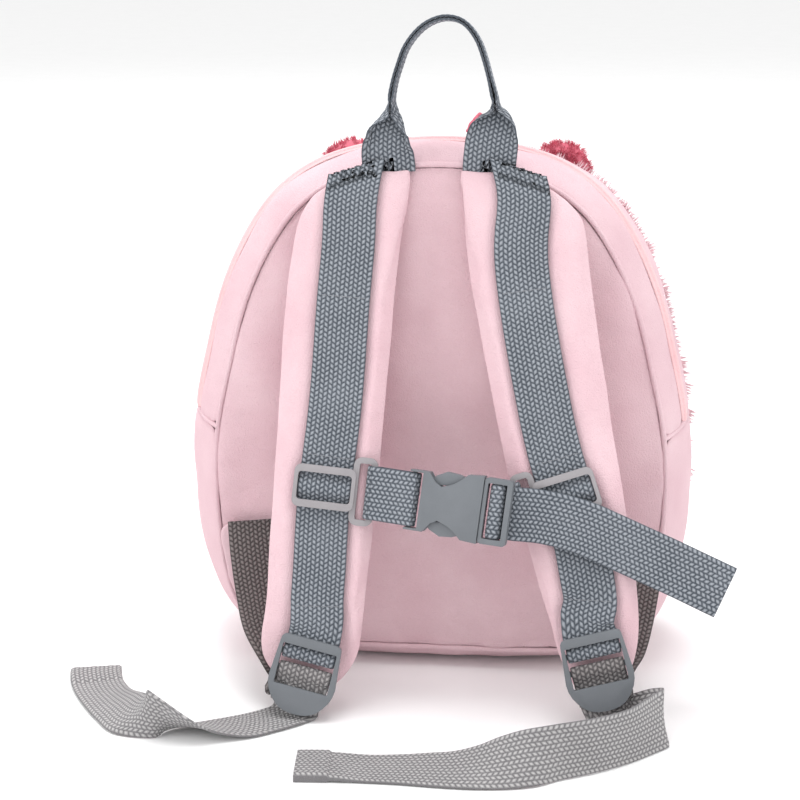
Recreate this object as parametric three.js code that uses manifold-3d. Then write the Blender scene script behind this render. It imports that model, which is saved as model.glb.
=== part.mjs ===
// A small child's animal backpack, strap side towards -Y and fur side towards +Y.
// It stands on its flat base at z = 0, x runs to the right, and all sizes are in millimetres.
import * as THREE from 'three';
import { mergeVertices } from 'three/addons/utils/BufferGeometryUtils.js';
import Module from 'manifold-3d';

const wasm = await Module();
wasm.setup();

// Sizes of the bag
const seamHalfWidth = 111;      // half the width of the back panel
const seamLow = 9;              // height of the lowest point of the back seam
const seamHigh = 253;           // height of the highest point of the back seam
const bagDepth = 84;            // from the back seam to the front seam
const clothWall = 2.5;          // plush with its thin backing
const bulgeLeft = 14;           // how far the gusset swells past the seams, by side
const bulgeRight = 9;
const bulgeTop = 9;
const bulgeBase = 14;
const frontFlare = 6;           // how much wider the front seam runs than the back seam
const topDrop = 10;             // how much less of that flare the front seam has at the top
const topCrest = 0.3;           // how far the crest of the swell moves back at the top
const backDome = 5;             // how far the back panel swells
const frontDome = 16;           // how far the fur panel swells
const seamGap = 0.35;           // clearance between neighbouring pieces
const sideSeamShare = 0.254;    // share of the seam loop, from the base centre, at the side seam
const zipPlace = 0.35;          // where the zip lies across the gusset, 0 back and 1 front
const zipWidth = 9;
const coilWidth = 3.4;
const coilHeight = 1.6;

// Sizes of the fur
const furBaseWidth = 17;
const furLength = 11;
const furRimLength = 12;
const furTurns = 5;             // rings of locks on the front
const furFloorClearance = 3;
const rimLaid = 0.6;           // share by which the rim's fur lies forwards at the top

// Sizes of the ears
const earWidth = 30;
const earHeight = 24;
const earThickness = 9;
const earSpread = 51;
const earLean = 28;             // degrees that the ears lean forwards
const earInset = 0.9;           // ring of the fur panel on which the ears stand
const earFootDepth = 0.3;       // from the fur panel to the middle of the ear's foot

// Sizes of the straps
const webbingWidth = 24.5;
const webbingThick = 1.3;
const strapLean = 14;           // degrees that the shoulder straps lean off the back panel
const strapReach = 66.2;        // how far behind the back seam the strap plane meets the floor
const padWidth = 57;
const padThick = 8.6;
const padSewnThick = 3.6;       // the pad where it is sewn into the top seam and at its lower end
const padTopLeft = -36;
const padFootLeft = -55.5;
const padTopRight = 34.5;
const padFootRight = 81;
const padEndLeft = 11.5;        // height of the lower ends along the strap plane
const padEndRight = 15;
const padTopOffset = 1.2;       // how far the pads start under the top seam
const padBend = 0.14;           // share of the strap's drop that bends in to the seam
const webTopEase = 0.7;         // how much the webbing stands off the pad at the seam
const padTopInset = 1.25;       // how far the sewn tops bend in to the seam
const hemThick = 2.6;
const tabWidth = 11;
const tabFromShare = 0.112;      // lower and upper ends of the side tabs along the seam loop
const tabToShare = 0.188;
const tabThick = 2;

// Sizes of the grab handle
const handleSpread = 23.8;      // half the distance between the two feet at the throat
const handleRise = 322;         // height of the top of the loop
const handleThroat = 280;       // height at which the webbing folds together
const handleRopeWidth = 8;      // folded webbing
const handleRopeThick = 3.2;
const handleFootIn = 12;
const handleFootOut = 35.5;
const handleFootThick = 1.6;

// Sizes of the chest slider, the buckle and the ladder lock
const sliderPost = 1.8;
const sliderPlay = 0.45;        // between the webbing's edge and the slider's post
const sliderWidth = webbingWidth + 2 * (sliderPost + sliderPlay);
const sliderHeight = 20;
const sliderBar = 3.4;
const sliderThick = 2.2;
const sliderCoreBar = 3;        // the bar that the shoulder webbing passes over
const coreRise = 2.9;           // how much the webbing rises over that bar
const loopReach = 9.5;
const loopBar = 2.8;
const loopPlay = 0.95;
const loopHeight = webbingWidth + 2 * (loopBar + loopPlay);
const loopLow = 0.9;
const sliderHeightUp = 108;     // place along the strap plane
const buckleRim = 3.5;
const buckleHeight = webbingWidth + 2 * buckleRim;
const buckleThick = 8;
const buckleLength = 35;
const buckleTilt = -6.4;
const buckleTurn = -5;          // degrees about its upright axis, right end further out
const buckleOut = 10.1;
const buckleCentreX = 15.2;
const buckleUp = 101.5;
const maleLength = 13;
const waistDepth = 6;
const waistWidth = 18;
const lockPlay = 0.75;
const lockSide = 3;
const lockWindowWidth = webbingWidth + 2 * lockPlay;
const lockWidth = lockWindowWidth + 2 * lockSide;
const lockWindowLow = -7.3;
const lockWindowHigh = 12.2;
const lockTop = 16.5;
const lockPlateEnd = -19.5;
const lockThick = 2.8;
const lockBar = 2.6;
const lockTiltLeft = -13;
const lockTiltRight = 15;
const lockXLeft = -56.5;
const lockUpLeft = 20.5;
const lockXRight = 80.2;
const lockUpRight = 28;

// Outline of the bag seen from the back, as shares of the seam's height and half width
const outlineRows = [
  { rise: 0.000, spread: 0.30 },
  { rise: 0.006, spread: 0.58 },
  { rise: 0.030, spread: 0.78 },
  { rise: 0.085, spread: 0.91 },
  { rise: 0.190, spread: 0.975 },
  { rise: 0.340, spread: 1.00 },
  { rise: 0.470, spread: 0.985 },
  { rise: 0.590, spread: 0.93 },
  { rise: 0.720, spread: 0.855 },
  { rise: 0.830, spread: 0.745 },
  { rise: 0.910, spread: 0.62 },
  { rise: 0.962, spread: 0.46 },
  { rise: 0.990, spread: 0.25 },
];

// Course of each shoulder strap from the top seam (drop 0) to its lower end (drop 1):
// swing is the share of the way from the top place to the foot place, wide the share of the
// pad's width, and web the webbing's offset as a share of the pad's width.
const strapRowsLeft = [
  { drop: 0.00, swing: 0.00, wide: 0.80, web: -0.055 },
  { drop: 0.07, swing: 0.14, wide: 0.92, web: -0.035 },
  { drop: 0.15, swing: 0.32, wide: 0.97, web: 0.020 },
  { drop: 0.26, swing: 0.47, wide: 0.99, web: 0.040 },
  { drop: 0.45, swing: 0.60, wide: 0.97, web: 0.042 },
  { drop: 0.64, swing: 0.74, wide: 0.945, web: 0.010 },
  { drop: 0.82, swing: 0.88, wide: 0.91, web: 0.025 },
  { drop: 0.92, swing: 0.98, wide: 0.875, web: 0.000 },
  { drop: 0.965, swing: 1.00, wide: 0.76, web: 0.000 },
  { drop: 0.99, swing: 1.00, wide: 0.55, web: 0.000 },
  { drop: 1.00, swing: 1.00, wide: 0.36, web: 0.000 },
];
const strapRowsRight = [
  { drop: 0.00, swing: 0.00, wide: 0.90, web: 0.060 },
  { drop: 0.06, swing: 0.09, wide: 1.02, web: 0.030 },
  { drop: 0.16, swing: 0.155, wide: 1.075, web: -0.040 },
  { drop: 0.27, swing: 0.255, wide: 1.06, web: -0.060 },
  { drop: 0.42, swing: 0.41, wide: 1.04, web: -0.058 },
  { drop: 0.54, swing: 0.54, wide: 1.02, web: -0.040 },
  { drop: 0.68, swing: 0.71, wide: 0.97, web: 0.020 },
  { drop: 0.77, swing: 0.83, wide: 0.91, web: 0.010 },
  { drop: 0.87, swing: 0.93, wide: 0.79, web: 0.000 },
  { drop: 0.94, swing: 0.98, wide: 0.62, web: 0.000 },
  { drop: 1.00, swing: 1.00, wide: 0.36, web: 0.000 },
];

// Geometry helpers

// Merges shared corners, drops flat triangles and turns the faces outwards.
function closed(geometry) {
  geometry.deleteAttribute('normal');
  geometry.deleteAttribute('uv');
  const merged = mergeVertices(geometry, 1e-3);
  const source = merged.index.array;
  const place = merged.attributes.position;
  const kept = [];
  let volume = 0;
  const a = new THREE.Vector3();
  const b = new THREE.Vector3();
  const c = new THREE.Vector3();
  for (let i = 0; i < source.length; i += 3) {
    const [p, q, r] = [source[i], source[i + 1], source[i + 2]];
    if (p === q || q === r || r === p) continue;
    kept.push(p, q, r);
    a.fromBufferAttribute(place, p);
    b.fromBufferAttribute(place, q);
    c.fromBufferAttribute(place, r);
    volume += a.dot(b.cross(c));
  }
  if (volume < 0) kept.reverse();
  merged.setIndex(kept);
  return merged;
}

// A closed wall between two grids of points; a loop closes on itself along its length.
function wallBetween(front, back, alongSteps, acrossSteps, loop = false) {
  const positions = [];
  const index = [];
  const row = acrossSteps + 1;
  const columns = loop ? alongSteps : alongSteps + 1;
  for (const side of [front, back]) {
    for (let i = 0; i < columns; i++) {
      for (let j = 0; j <= acrossSteps; j++) {
        const p = side(i, j);
        positions.push(p.x, p.y, p.z);
      }
    }
  }
  const half = columns * row;
  const at = (i, j) => (i % columns) * row + j;
  const quad = (p, q, r, s) => index.push(p, q, r, p, r, s);
  for (let i = 0; i < alongSteps; i++) {
    for (let j = 0; j < acrossSteps; j++) {
      quad(at(i, j), at(i + 1, j), at(i + 1, j + 1), at(i, j + 1));
      quad(half + at(i, j), half + at(i, j + 1), half + at(i + 1, j + 1), half + at(i + 1, j));
    }
    quad(at(i + 1, 0), at(i, 0), half + at(i, 0), half + at(i + 1, 0));
    quad(at(i, acrossSteps), at(i + 1, acrossSteps),
      half + at(i + 1, acrossSteps), half + at(i, acrossSteps));
  }
  if (!loop) {
    for (let j = 0; j < acrossSteps; j++) {
      quad(at(0, j), at(0, j + 1), half + at(0, j + 1), half + at(0, j));
      quad(at(alongSteps, j + 1), at(alongSteps, j),
        half + at(alongSteps, j), half + at(alongSteps, j + 1));
    }
  }
  const geometry = new THREE.BufferGeometry();
  geometry.setAttribute('position', new THREE.Float32BufferAttribute(positions, 3));
  geometry.setIndex(index);
  return closed(geometry);
}

function toSolid(geometry) {
  const g = closed(geometry);
  return new wasm.Manifold(new wasm.Mesh({
    numProp: 3,
    vertProperties: Float32Array.from(g.attributes.position.array),
    triVerts: Uint32Array.from(g.index.array),
  }));
}

function fromSolid(solid) {
  const mesh = solid.getMesh();
  const geometry = new THREE.BufferGeometry();
  geometry.setAttribute('position', new THREE.BufferAttribute(mesh.vertProperties, 3));
  geometry.setIndex(new THREE.BufferAttribute(mesh.triVerts, 1));
  return geometry;
}

const join = (...parts) => fromSolid(parts.map(toSolid).reduce((sum, part) => sum.add(part)));
const cut = (body, ...tools) =>
  fromSolid(tools.map(toSolid).reduce((rest, tool) => rest.subtract(tool), toSolid(body)));

// Reads a column of a table at a share along its first column.
function readRows(rows, key, column, share) {
  let i = 0;
  while (i < rows.length - 2 && share > rows[i + 1][key]) i++;
  const before = rows[Math.max(i - 1, 0)];
  const from = rows[i];
  const to = rows[i + 1];
  const after = rows[Math.min(i + 2, rows.length - 1)];
  const span = to[key] - from[key];
  const t = (share - from[key]) / span;
  const slopeFrom = (to[column] - before[column]) / (to[key] - before[key]) * span;
  const slopeTo = (after[column] - from[column]) / (after[key] - from[key]) * span;
  const t2 = t * t;
  const t3 = t2 * t;
  return (2 * t3 - 3 * t2 + 1) * from[column] + (t3 - 2 * t2 + t) * slopeFrom
    + (3 * t2 - 2 * t3) * to[column] + (t3 - t2) * slopeTo;
}

// A flat strap along rows of { at, across }, with its own thickness at each share of its length.
// lie keeps it above the floor.
function strap(rows, width, thickAt, steps, lie = false) {
  const places = rows.map((r) => new THREE.Vector3(...r.at));
  const centre = new THREE.CatmullRomCurve3(places, false, 'centripetal');
  const sections = [];
  for (let i = 0; i <= steps; i++) {
    const t = i / steps;
    const p = centre.getPoint(t);
    const along = centre.getTangent(t);
    const place = t * (rows.length - 1);
    const k = Math.min(Math.floor(place), rows.length - 2);
    const f = place - k;
    const ease = f * f * (3 - 2 * f);
    const across = new THREE.Vector3(...rows[k].across)
      .lerp(new THREE.Vector3(...rows[k + 1].across), ease);
    across.addScaledVector(along, -across.dot(along)).normalize();
    const up = new THREE.Vector3().crossVectors(along, across).normalize();
    const thick = thickAt(t) / 2;
    if (lie) {
      const reach = Math.abs(across.z) * width / 2 + Math.abs(up.z) * thick;
      p.z = Math.max(p.z, reach);
    }
    sections.push({ p, across, up, thick });
  }
  const face = (side) => (i, j) => {
    const { p, across, up, thick } = sections[i];
    return p.clone().addScaledVector(across, (j - 0.5) * width).addScaledVector(up, side * thick);
  };
  return wallBetween(face(1), face(-1), steps, 1);
}

// A plate with round corners and holes, from z = low to low + thick.
function plate(shape, low, thick, curveSteps = 4) {
  const geometry = new THREE.ExtrudeGeometry(shape, {
    depth: thick, bevelEnabled: false, curveSegments: curveSteps,
  });
  geometry.translate(0, 0, low);
  return geometry;
}

function roundedPath(path, left, right, low, high, radius) {
  path.moveTo(left + radius, low);
  path.lineTo(right - radius, low);
  path.absarc(right - radius, low + radius, radius, -Math.PI / 2, 0);
  path.lineTo(right, high - radius);
  path.absarc(right - radius, high - radius, radius, 0, Math.PI / 2);
  path.lineTo(left + radius, high);
  path.absarc(left + radius, high - radius, radius, Math.PI / 2, Math.PI);
  path.lineTo(left, low + radius);
  path.absarc(left + radius, low + radius, radius, Math.PI, Math.PI * 1.5);
  return path;
}

function block(left, right, low, high, back, front) {
  const geometry = new THREE.BoxGeometry(right - left, high - low, front - back);
  geometry.translate((left + right) / 2, (low + high) / 2, (back + front) / 2);
  return geometry;
}

// The bag's seam loop and gusset
const seamHeight = seamHigh - seamLow;
const halfDepth = bagDepth / 2;
const bagWide = 2 * seamHalfWidth;
const loopPoints = [];
loopPoints.push(new THREE.Vector3(0, 0, seamLow));
for (const { rise, spread } of outlineRows) {
  loopPoints.push(new THREE.Vector3(spread * seamHalfWidth, 0, seamLow + rise * seamHeight));
}
loopPoints.push(new THREE.Vector3(0, 0, seamHigh));
for (const { rise, spread } of [...outlineRows].reverse()) {
  loopPoints.push(new THREE.Vector3(-spread * seamHalfWidth, 0, seamLow + rise * seamHeight));
}
const seamLoop = new THREE.CatmullRomCurve3(loopPoints, true, 'centripetal');
seamLoop.arcLengthDivisions = 800;
const wrap = (u) => ((u % 1) + 1) % 1;

function seamPoint(u) {
  const t = wrap(u);
  const point = seamLoop.getPointAt(t);
  const along = seamLoop.getTangentAt(t);
  const out = new THREE.Vector3(along.z, 0, -along.x);
  return { point, out };
}

function bulgeAt(out) {
  const side = out.x < 0 ? bulgeLeft : bulgeRight;
  const tip = out.z < 0 ? bulgeBase : bulgeTop;
  return side * out.x * out.x + tip * out.z * out.z;
}

const topShare = (out) => Math.pow(Math.max(out.z, 0), 2);
const flareAt = (out) => frontFlare - topDrop * topShare(out);

// How far the gusset stands outside the back seam: v from the back seam to the front seam.
function swellAt(out, v) {
  const crest = Math.pow(v, 1 - topCrest * topShare(out));
  return bulgeAt(out) * Math.pow(Math.sin(Math.PI * crest), 0.8) + flareAt(out) * v;
}

// A point of the gusset: u round the loop, v across it, inset by the wall for the inner face.
function gussetPoint(u, v, inset) {
  const { point, out } = seamPoint(u);
  const swell = swellAt(out, v) - inset;
  const p = point.clone().addScaledVector(out, swell);
  p.y = THREE.MathUtils.lerp(-halfDepth + inset, halfDepth - inset, v);
  p.z = Math.max(p.z, inset);
  return p;
}

const lowerSteps = 26;
const upperSteps = 34;
const lowerStations = [];
const upperStations = [];
for (let i = 0; i <= lowerSteps; i++) {
  lowerStations.push(-sideSeamShare + 2 * sideSeamShare * i / lowerSteps);
}
for (let i = 0; i <= upperSteps; i++) {
  upperStations.push(sideSeamShare + (1 - 2 * sideSeamShare) * i / upperSteps);
}
const loopLength = seamLoop.getLength();
const endShare = seamGap / 2 / loopLength;

function insetEnds(stations) {
  const list = [...stations];
  list[0] += endShare;
  list[list.length - 1] -= endShare;
  return list;
}

// A strip of the gusset between two places across its depth.
function gussetStrip(stations, from, to, acrossSteps) {
  const list = insetEnds(stations);
  const place = (inset) => (i, j) => gussetPoint(list[i], from + (to - from) * j / acrossSteps, inset);
  return wallBetween(place(0), place(clothWall), stations.length - 1, acrossSteps);
}

const zipShare = zipWidth / bagDepth;
const gapShare = seamGap / bagDepth;
const zipFrom = zipPlace - zipShare / 2;
const zipTo = zipPlace + zipShare / 2;

// The zip: a tape with the closed coil along its middle.
function zipStrip() {
  const list = insetEnds(upperStations);
  const half = zipWidth / 2;
  const ridge = [
    { place: zipFrom + gapShare, rise: 0 },
    { place: zipPlace - zipShare * coilWidth / 2 / zipWidth, rise: 0 },
    { place: zipPlace - zipShare * coilWidth / 4 / half, rise: coilHeight },
    { place: zipPlace + zipShare * coilWidth / 4 / half, rise: coilHeight },
    { place: zipPlace + zipShare * coilWidth / 2 / zipWidth + gapShare, rise: 0 },
    { place: zipTo - gapShare, rise: 0 },
  ];
  ridge[1].place -= gapShare;
  const outer = (i, j) => gussetPoint(list[i], ridge[j].place, -ridge[j].rise + 0.6);
  const inner = (i, j) => gussetPoint(list[i], ridge[j].place, clothWall);
  return wallBetween(outer, inner, list.length - 1, ridge.length - 1);
}

// The back and front panels: rings of points from the middle to the seam.
const panelStations = [...lowerStations, ...upperStations.slice(1, -1)];
const panelCentre = new THREE.Vector3(0, 0, (seamLow + seamHigh) / 2);

function panelPoint(u, ring, side, inset) {
  const { point, out } = seamPoint(u);
  const flare = side > 0 ? flareAt(out) : 0;
  const dome = side > 0 ? frontDome : backDome;
  const edge = point.clone().addScaledVector(out, flare - inset);
  edge.z = Math.max(edge.z, inset);
  const p = panelCentre.clone().lerp(edge, ring);
  p.y = side * (halfDepth + seamGap - inset + dome * (1 - Math.pow(ring, 2.6)));
  return p;
}

function panel(side, rings) {
  const place = (inset) => (i, j) => panelPoint(panelStations[i % panelStations.length],
    Math.pow(j / rings, 0.8), side, inset);
  return wallBetween(place(0), place(clothWall), panelStations.length, rings, true);
}

// One lock of fur: a bent three-sided tuft from a root along a direction, swept downwards.
function furLock(root, direction, width, length, sweep) {
  const aside = new THREE.Vector3().crossVectors(direction, sweep).normalize();
  const along = direction.clone().normalize();
  const flat = new THREE.Vector3().crossVectors(aside, along).normalize();
  const ring = (centre, half) => [
    centre.clone().addScaledVector(aside, half).addScaledVector(flat, -half * 0.4),
    centre.clone().addScaledVector(flat, half * 0.7),
    centre.clone().addScaledVector(aside, -half).addScaledVector(flat, -half * 0.4),
  ];
  const foot = root.clone().addScaledVector(along, -clothWall * 0.6);
  const middle = root.clone().addScaledVector(along, length * 0.55).addScaledVector(sweep, length * 0.15);
  const tip = root.clone().addScaledVector(along, length).addScaledVector(sweep, length * 0.6);
  const points = [...ring(foot, width / 2), ...ring(middle, width / 3), tip];
  const index = [0, 2, 1];
  for (let k = 0; k < 3; k++) {
    const n = (k + 1) % 3;
    index.push(k, n, 3 + n, k, 3 + n, 3 + k, 3 + k, 3 + n, 6);
  }
  const geometry = new THREE.BufferGeometry();
  geometry.setAttribute('position',
    new THREE.Float32BufferAttribute(points.flatMap((p) => p.toArray()), 3));
  geometry.setIndex(index);
  return geometry;
}

const earFoot = earSeat();

// The place on the fur panel where an ear stands.
function earSeat() {
  let best = panelPoint(0.5, earInset, 1, 0);
  for (let k = 0; k <= 100; k++) {
    const p = panelPoint(0.3 + 0.2 * k / 100, earInset, 1, 0);
    if (Math.abs(p.x - earSpread) < Math.abs(best.x - earSpread)) best = p;
  }
  return best;
}

function nearEar(p) {
  return Math.abs(Math.abs(p.x) - earSpread) < earWidth / 2 + furBaseWidth / 3
    && p.z > earFoot.z - furLength;
}

// The front panel with its long fur: rings of locks over the face and one row round the rim.
function furPanel() {
  const locks = [];
  const down = new THREE.Vector3(0, 0, -1);
  const face = new THREE.Vector3(0, 1, 0);
  const tallest = seamHalfWidth + frontFlare;
  for (let turn = 0; turn < furTurns; turn++) {
    const ring = (turn + 0.5) / furTurns;
    const count = Math.max(5, Math.round(2 * Math.PI * tallest * ring / (furBaseWidth * 1.9)));
    for (let k = 0; k < count; k++) {
      const root = panelPoint((k + (turn % 2) / 2) / count, ring, 1, 0);
      const away = root.clone().sub(panelCentre).setY(0).normalize();
      const direction = face.clone().addScaledVector(away, 0.75 * ring);
      const sweep = down.clone().addScaledVector(away, 0.4).normalize();
      if (root.z < furFloorClearance + furLength || nearEar(root)) continue;
      locks.push(furLock(root, direction, furBaseWidth, furLength, sweep));
    }
  }
  const rimCount = Math.round(loopLength / (furBaseWidth * 1.1));
  for (let k = 0; k < rimCount; k++) {
    const { out } = seamPoint(k / rimCount);
    const root = panelPoint(k / rimCount, 0.985, 1, 0);
    const laid = rimLaid * topShare(out);
    root.y += clothWall * (1 - laid / rimLaid);
    const forward = new THREE.Vector3(0, 0.35 + laid, 0);
    const direction = out.clone().multiplyScalar(1 - laid).add(forward).normalize();
    const tip = root.clone().addScaledVector(direction, furRimLength);
    if (tip.z < furFloorClearance + furRimLength * 0.6 || root.z < furRimLength) continue;
    if (nearEar(root)) continue;
    const sweep = new THREE.Vector3(0, 0.3, -0.5).normalize();
    locks.push(furLock(root, direction, furBaseWidth, furRimLength, sweep));
  }
  const behind = block(-bagWide, bagWide, -bagWide, bagWide, -bagWide, halfDepth + seamGap);
  behind.rotateX(-Math.PI / 2);
  behind.translate(0, 0, bagWide);
  return join(panel(1, 3), cut(join(...locks), behind));
}

// A small rounded plush ear that stands on the fur panel near its upper edge.
function ear(side) {
  const steps = 12;
  const rings = 3;
  const splay = side * 0.25;
  const forward = THREE.MathUtils.degToRad(earLean);
  const place = (face) => (i, j) => {
    const angle = 2 * Math.PI * i / steps;
    const r = j / rings;
    const x = Math.sin(angle) * r * earWidth / 2;
    const z = earHeight / 2 - Math.cos(angle) * r * earHeight / 2;
    const thick = earThickness / 2 * Math.sqrt(Math.max(0, 1 - r * r * 0.97));
    const y = earFootDepth + face * thick;
    const rise = z * Math.cos(splay) - x * Math.sin(splay);
    return new THREE.Vector3(
      side * earFoot.x + x * Math.cos(splay) + z * Math.sin(splay),
      earFoot.y + seamGap + y * Math.cos(forward) + rise * Math.sin(forward),
      earFoot.z + rise * Math.cos(forward) - y * Math.sin(forward));
  };
  return wallBetween(place(1), place(-1), steps, rings, true);
}

// The plane of the shoulder straps, as a group: x right, y up along the straps, z outwards.
const lean = THREE.MathUtils.degToRad(strapLean);
const strapPlane = new THREE.Group();
strapPlane.position.set(0, -halfDepth - strapReach, 0);
strapPlane.rotation.x = Math.PI / 2 - lean;
strapPlane.updateMatrixWorld(true);
const intoStraps = strapPlane.matrixWorld.clone().invert();
const toPlane = (x, y, z) => new THREE.Vector3(x, y, z).applyMatrix4(intoStraps);
const toWorld = (x, y, z) => new THREE.Vector3(x, y, z).applyMatrix4(strapPlane.matrixWorld);

// Height of the back seam over the strap's top, as seen on the strap plane.
function seamTopAt(x) {
  let best = seamPoint(0.5).point;
  for (let k = 0; k <= 200; k++) {
    const { point } = seamPoint(0.3 + 0.4 * k / 200);
    if (Math.abs(point.x - x) < Math.abs(best.x - x)) best = point;
  }
  return toPlane(x, -halfDepth - seamGap, best.z).y;
}

const plainTop = seamTopAt(0) - padTopOffset;

function strapCourse(rows, top, foot, end) {
  const strapDrop = plainTop - end;
  const read = (column, share) => readRows(rows, 'drop', column, share);
  const centreX = (share) => top + (foot - top) * read('swing', share);
  const centreY = (share) => plainTop - strapDrop * share;
  const half = (share) => padWidth * read('wide', share) / 2;
  const webX = (share) => centreX(share) + padWidth * read('web', share);
  const fadeAt = (share) => Math.pow(Math.max(0, 1 - share / padBend), 2);
  // A point at a share of the drop and a side offset; near the top it follows the seam.
  const point = (share, offset, out) => {
    const x = centreX(share) + offset;
    const fade = fadeAt(share);
    const y = centreY(share) + fade * (seamTopAt(x) - padTopOffset - plainTop);
    return new THREE.Vector3(x, y, out - fade * padTopInset);
  };
  const shareAt = (up) => (plainTop - up) / strapDrop;
  return { centreX, half, webX, point, fadeAt, shareAt, strapDrop, end };
}

const courseLeft = strapCourse(strapRowsLeft, padTopLeft, padFootLeft, padEndLeft);
const courseRight = strapCourse(strapRowsRight, padTopRight, padFootRight, padEndRight);

// Half the pad's thickness along its length.
function padHalfAt(share) {
  const top = Math.min(1, share / 0.13);
  const end = Math.min(1, (1 - share) / 0.24);
  const full = Math.sin(Math.PI / 2 * top) * Math.sin(Math.PI / 2 * end);
  return (padSewnThick + (padThick - padSewnThick) * full) / 2;
}

const padSteps = 22;
const padAcross = 6;

function shoulderPad(course) {
  const face = (side) => (i, j) => {
    const share = i / padSteps;
    const s = 2 * j / padAcross - 1;
    const u = Math.sin(s * Math.PI / 2);
    const crown = Math.pow(Math.max(0, 1 - Math.pow(Math.abs(u), 4)), 0.5);
    const out = side * (padHalfAt(share) * (0.12 + 0.88 * crown));
    return course.point(share, u * course.half(share), out);
  };
  return wallBetween(face(1), face(-1), padSteps, padAcross);
}

const webLift = seamGap + webbingThick / 2;

// The chest slider: a frame with an inner bar, and a side loop for the chest strap.
const sliderBase = padThick / 2 + seamGap;
const sliderLow = webbingThick + 3 * seamGap + 0.6;

function chestSlider(side) {
  const halfW = sliderWidth / 2;
  const halfH = sliderHeight / 2;
  const frame = roundedPath(new THREE.Shape(), -halfW, halfW, -halfH, halfH, 3.2);
  frame.holes.push(roundedPath(new THREE.Path(), -halfW + sliderPost, halfW - sliderPost,
    -halfH + sliderBar, halfH - sliderBar, 1.6));
  const inner = side * (halfW - sliderPost);
  const outer = side * (halfW + loopReach);
  const left = Math.min(inner, outer);
  const right = Math.max(inner, outer);
  const loop = roundedPath(new THREE.Shape(), left, right, -loopHeight / 2, loopHeight / 2, 3.8);
  loop.holes.push(roundedPath(new THREE.Path(), left + loopBar, right - loopBar,
    -loopHeight / 2 + loopBar, loopHeight / 2 - loopBar, 1));
  const posts = [-1, 1].map((s) => block(
    Math.min(s * halfW, s * (halfW - sliderPost)), Math.max(s * halfW, s * (halfW - sliderPost)),
    -halfH + 3.5, halfH - 3.5, 0, sliderLow + 1));
  const bar = block(-halfW + 1, halfW - 1, -sliderCoreBar / 2, sliderCoreBar / 2, 0, coreRise - 1.2);
  return join(plate(frame, sliderLow, sliderThick, 2), plate(loop, loopLow, sliderThick, 2), bar, ...posts);
}

// The ladder lock: a frame with two bars and a rounded finger plate.
const lockBarLow = webbingThick + 2 * seamGap;
const lockFrameLow = 2 * webbingThick + 3 * seamGap;
const lockBarHigh = lockFrameLow + 0.25;
const lockBarA = 8.2;
const lockBarB = 0.2;

function ladderLock() {
  const half = lockWidth / 2;
  const topHalf = half - 1.5;
  const shape = new THREE.Shape();
  shape.moveTo(-topHalf + 3, lockTop);
  shape.lineTo(topHalf - 3, lockTop);
  shape.quadraticCurveTo(topHalf, lockTop, topHalf, lockTop - 3);
  shape.lineTo(half, -4);
  shape.quadraticCurveTo(half, -11, half * 0.62, lockPlateEnd + 3);
  shape.quadraticCurveTo(half * 0.4, lockPlateEnd, 0, lockPlateEnd);
  shape.quadraticCurveTo(-half * 0.4, lockPlateEnd, -half * 0.62, lockPlateEnd + 3);
  shape.quadraticCurveTo(-half, -11, -half, -4);
  shape.lineTo(-topHalf, lockTop - 3);
  shape.quadraticCurveTo(-topHalf, lockTop, -topHalf + 3, lockTop);
  const halfWindow = lockWindowWidth / 2;
  shape.holes.push(roundedPath(new THREE.Path(),
    -halfWindow, halfWindow, lockWindowLow, lockWindowHigh, 0.8));
  const bars = [lockBarA, lockBarB].map((y) => block(-half + 1.2, half - 1.2,
    y - lockBar / 2, y + lockBar / 2, lockBarLow, lockBarHigh));
  return join(plate(shape, lockFrameLow, lockThick, 4), ...bars);
}

// Straps that pass through a ladder lock, in the lock's own frame, as rows of up and out.
const overBar = lockBarHigh + seamGap + webbingThick / 2;
const turnReach = lockBar / 2 + seamGap + webbingThick / 2;
const backLayer = webbingThick / 2;
const frontLayer = webbingThick * 1.5 + seamGap;
const onBar = lockBar / 2;
const middleOut = (overBar + backLayer) / 2;

// The webbing's turn round a bar, as places along the lock from the bar's middle.
const turnUpper = [
  { up: onBar + 1.8, out: middleOut + 0.6 },
  { up: onBar + 1, out: overBar - 0.4 },
  { up: 0, out: overBar },
  { up: -onBar - 0.7, out: overBar - 0.5 },
  { up: -turnReach - 0.1, out: middleOut + 0.3 },
  { up: -onBar - 0.8, out: backLayer + 0.6 },
  { up: 0.4, out: backLayer },
];
const turnLower = [
  { up: -3, out: backLayer - 0.1 },
  { up: onBar - 0.4, out: backLayer },
  { up: onBar + 0.9, out: backLayer + 0.7 },
  { up: turnReach + 0.1, out: middleOut + 0.3 },
  { up: onBar + 0.7, out: overBar - 0.5 },
  { up: 0, out: overBar },
  { up: -onBar - 0.8, out: overBar - 0.3 },
  { up: -onBar - 2.6, out: frontLayer + 1.1 },
];

function lockFrame(course, x, up, tilt) {
  const frame = new THREE.Matrix4().makeRotationZ(THREE.MathUtils.degToRad(tilt));
  frame.setPosition(x, up, padHalfAt(course.shareAt(up + lockTop + 2)) + seamGap);
  return new THREE.Matrix4().multiplyMatrices(strapPlane.matrixWorld, frame);
}

const lockFrameLeft = lockFrame(courseLeft, lockXLeft, lockUpLeft, lockTiltLeft);
const lockFrameRight = lockFrame(courseRight, lockXRight, lockUpRight, lockTiltRight);

function lockRow(frame, up, out, swing = 0) {
  const at = new THREE.Vector3(0, up, out).applyMatrix4(frame);
  const across = new THREE.Vector3(1, swing, 0).transformDirection(frame);
  return { at: at.toArray(), across: across.toArray() };
}

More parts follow.
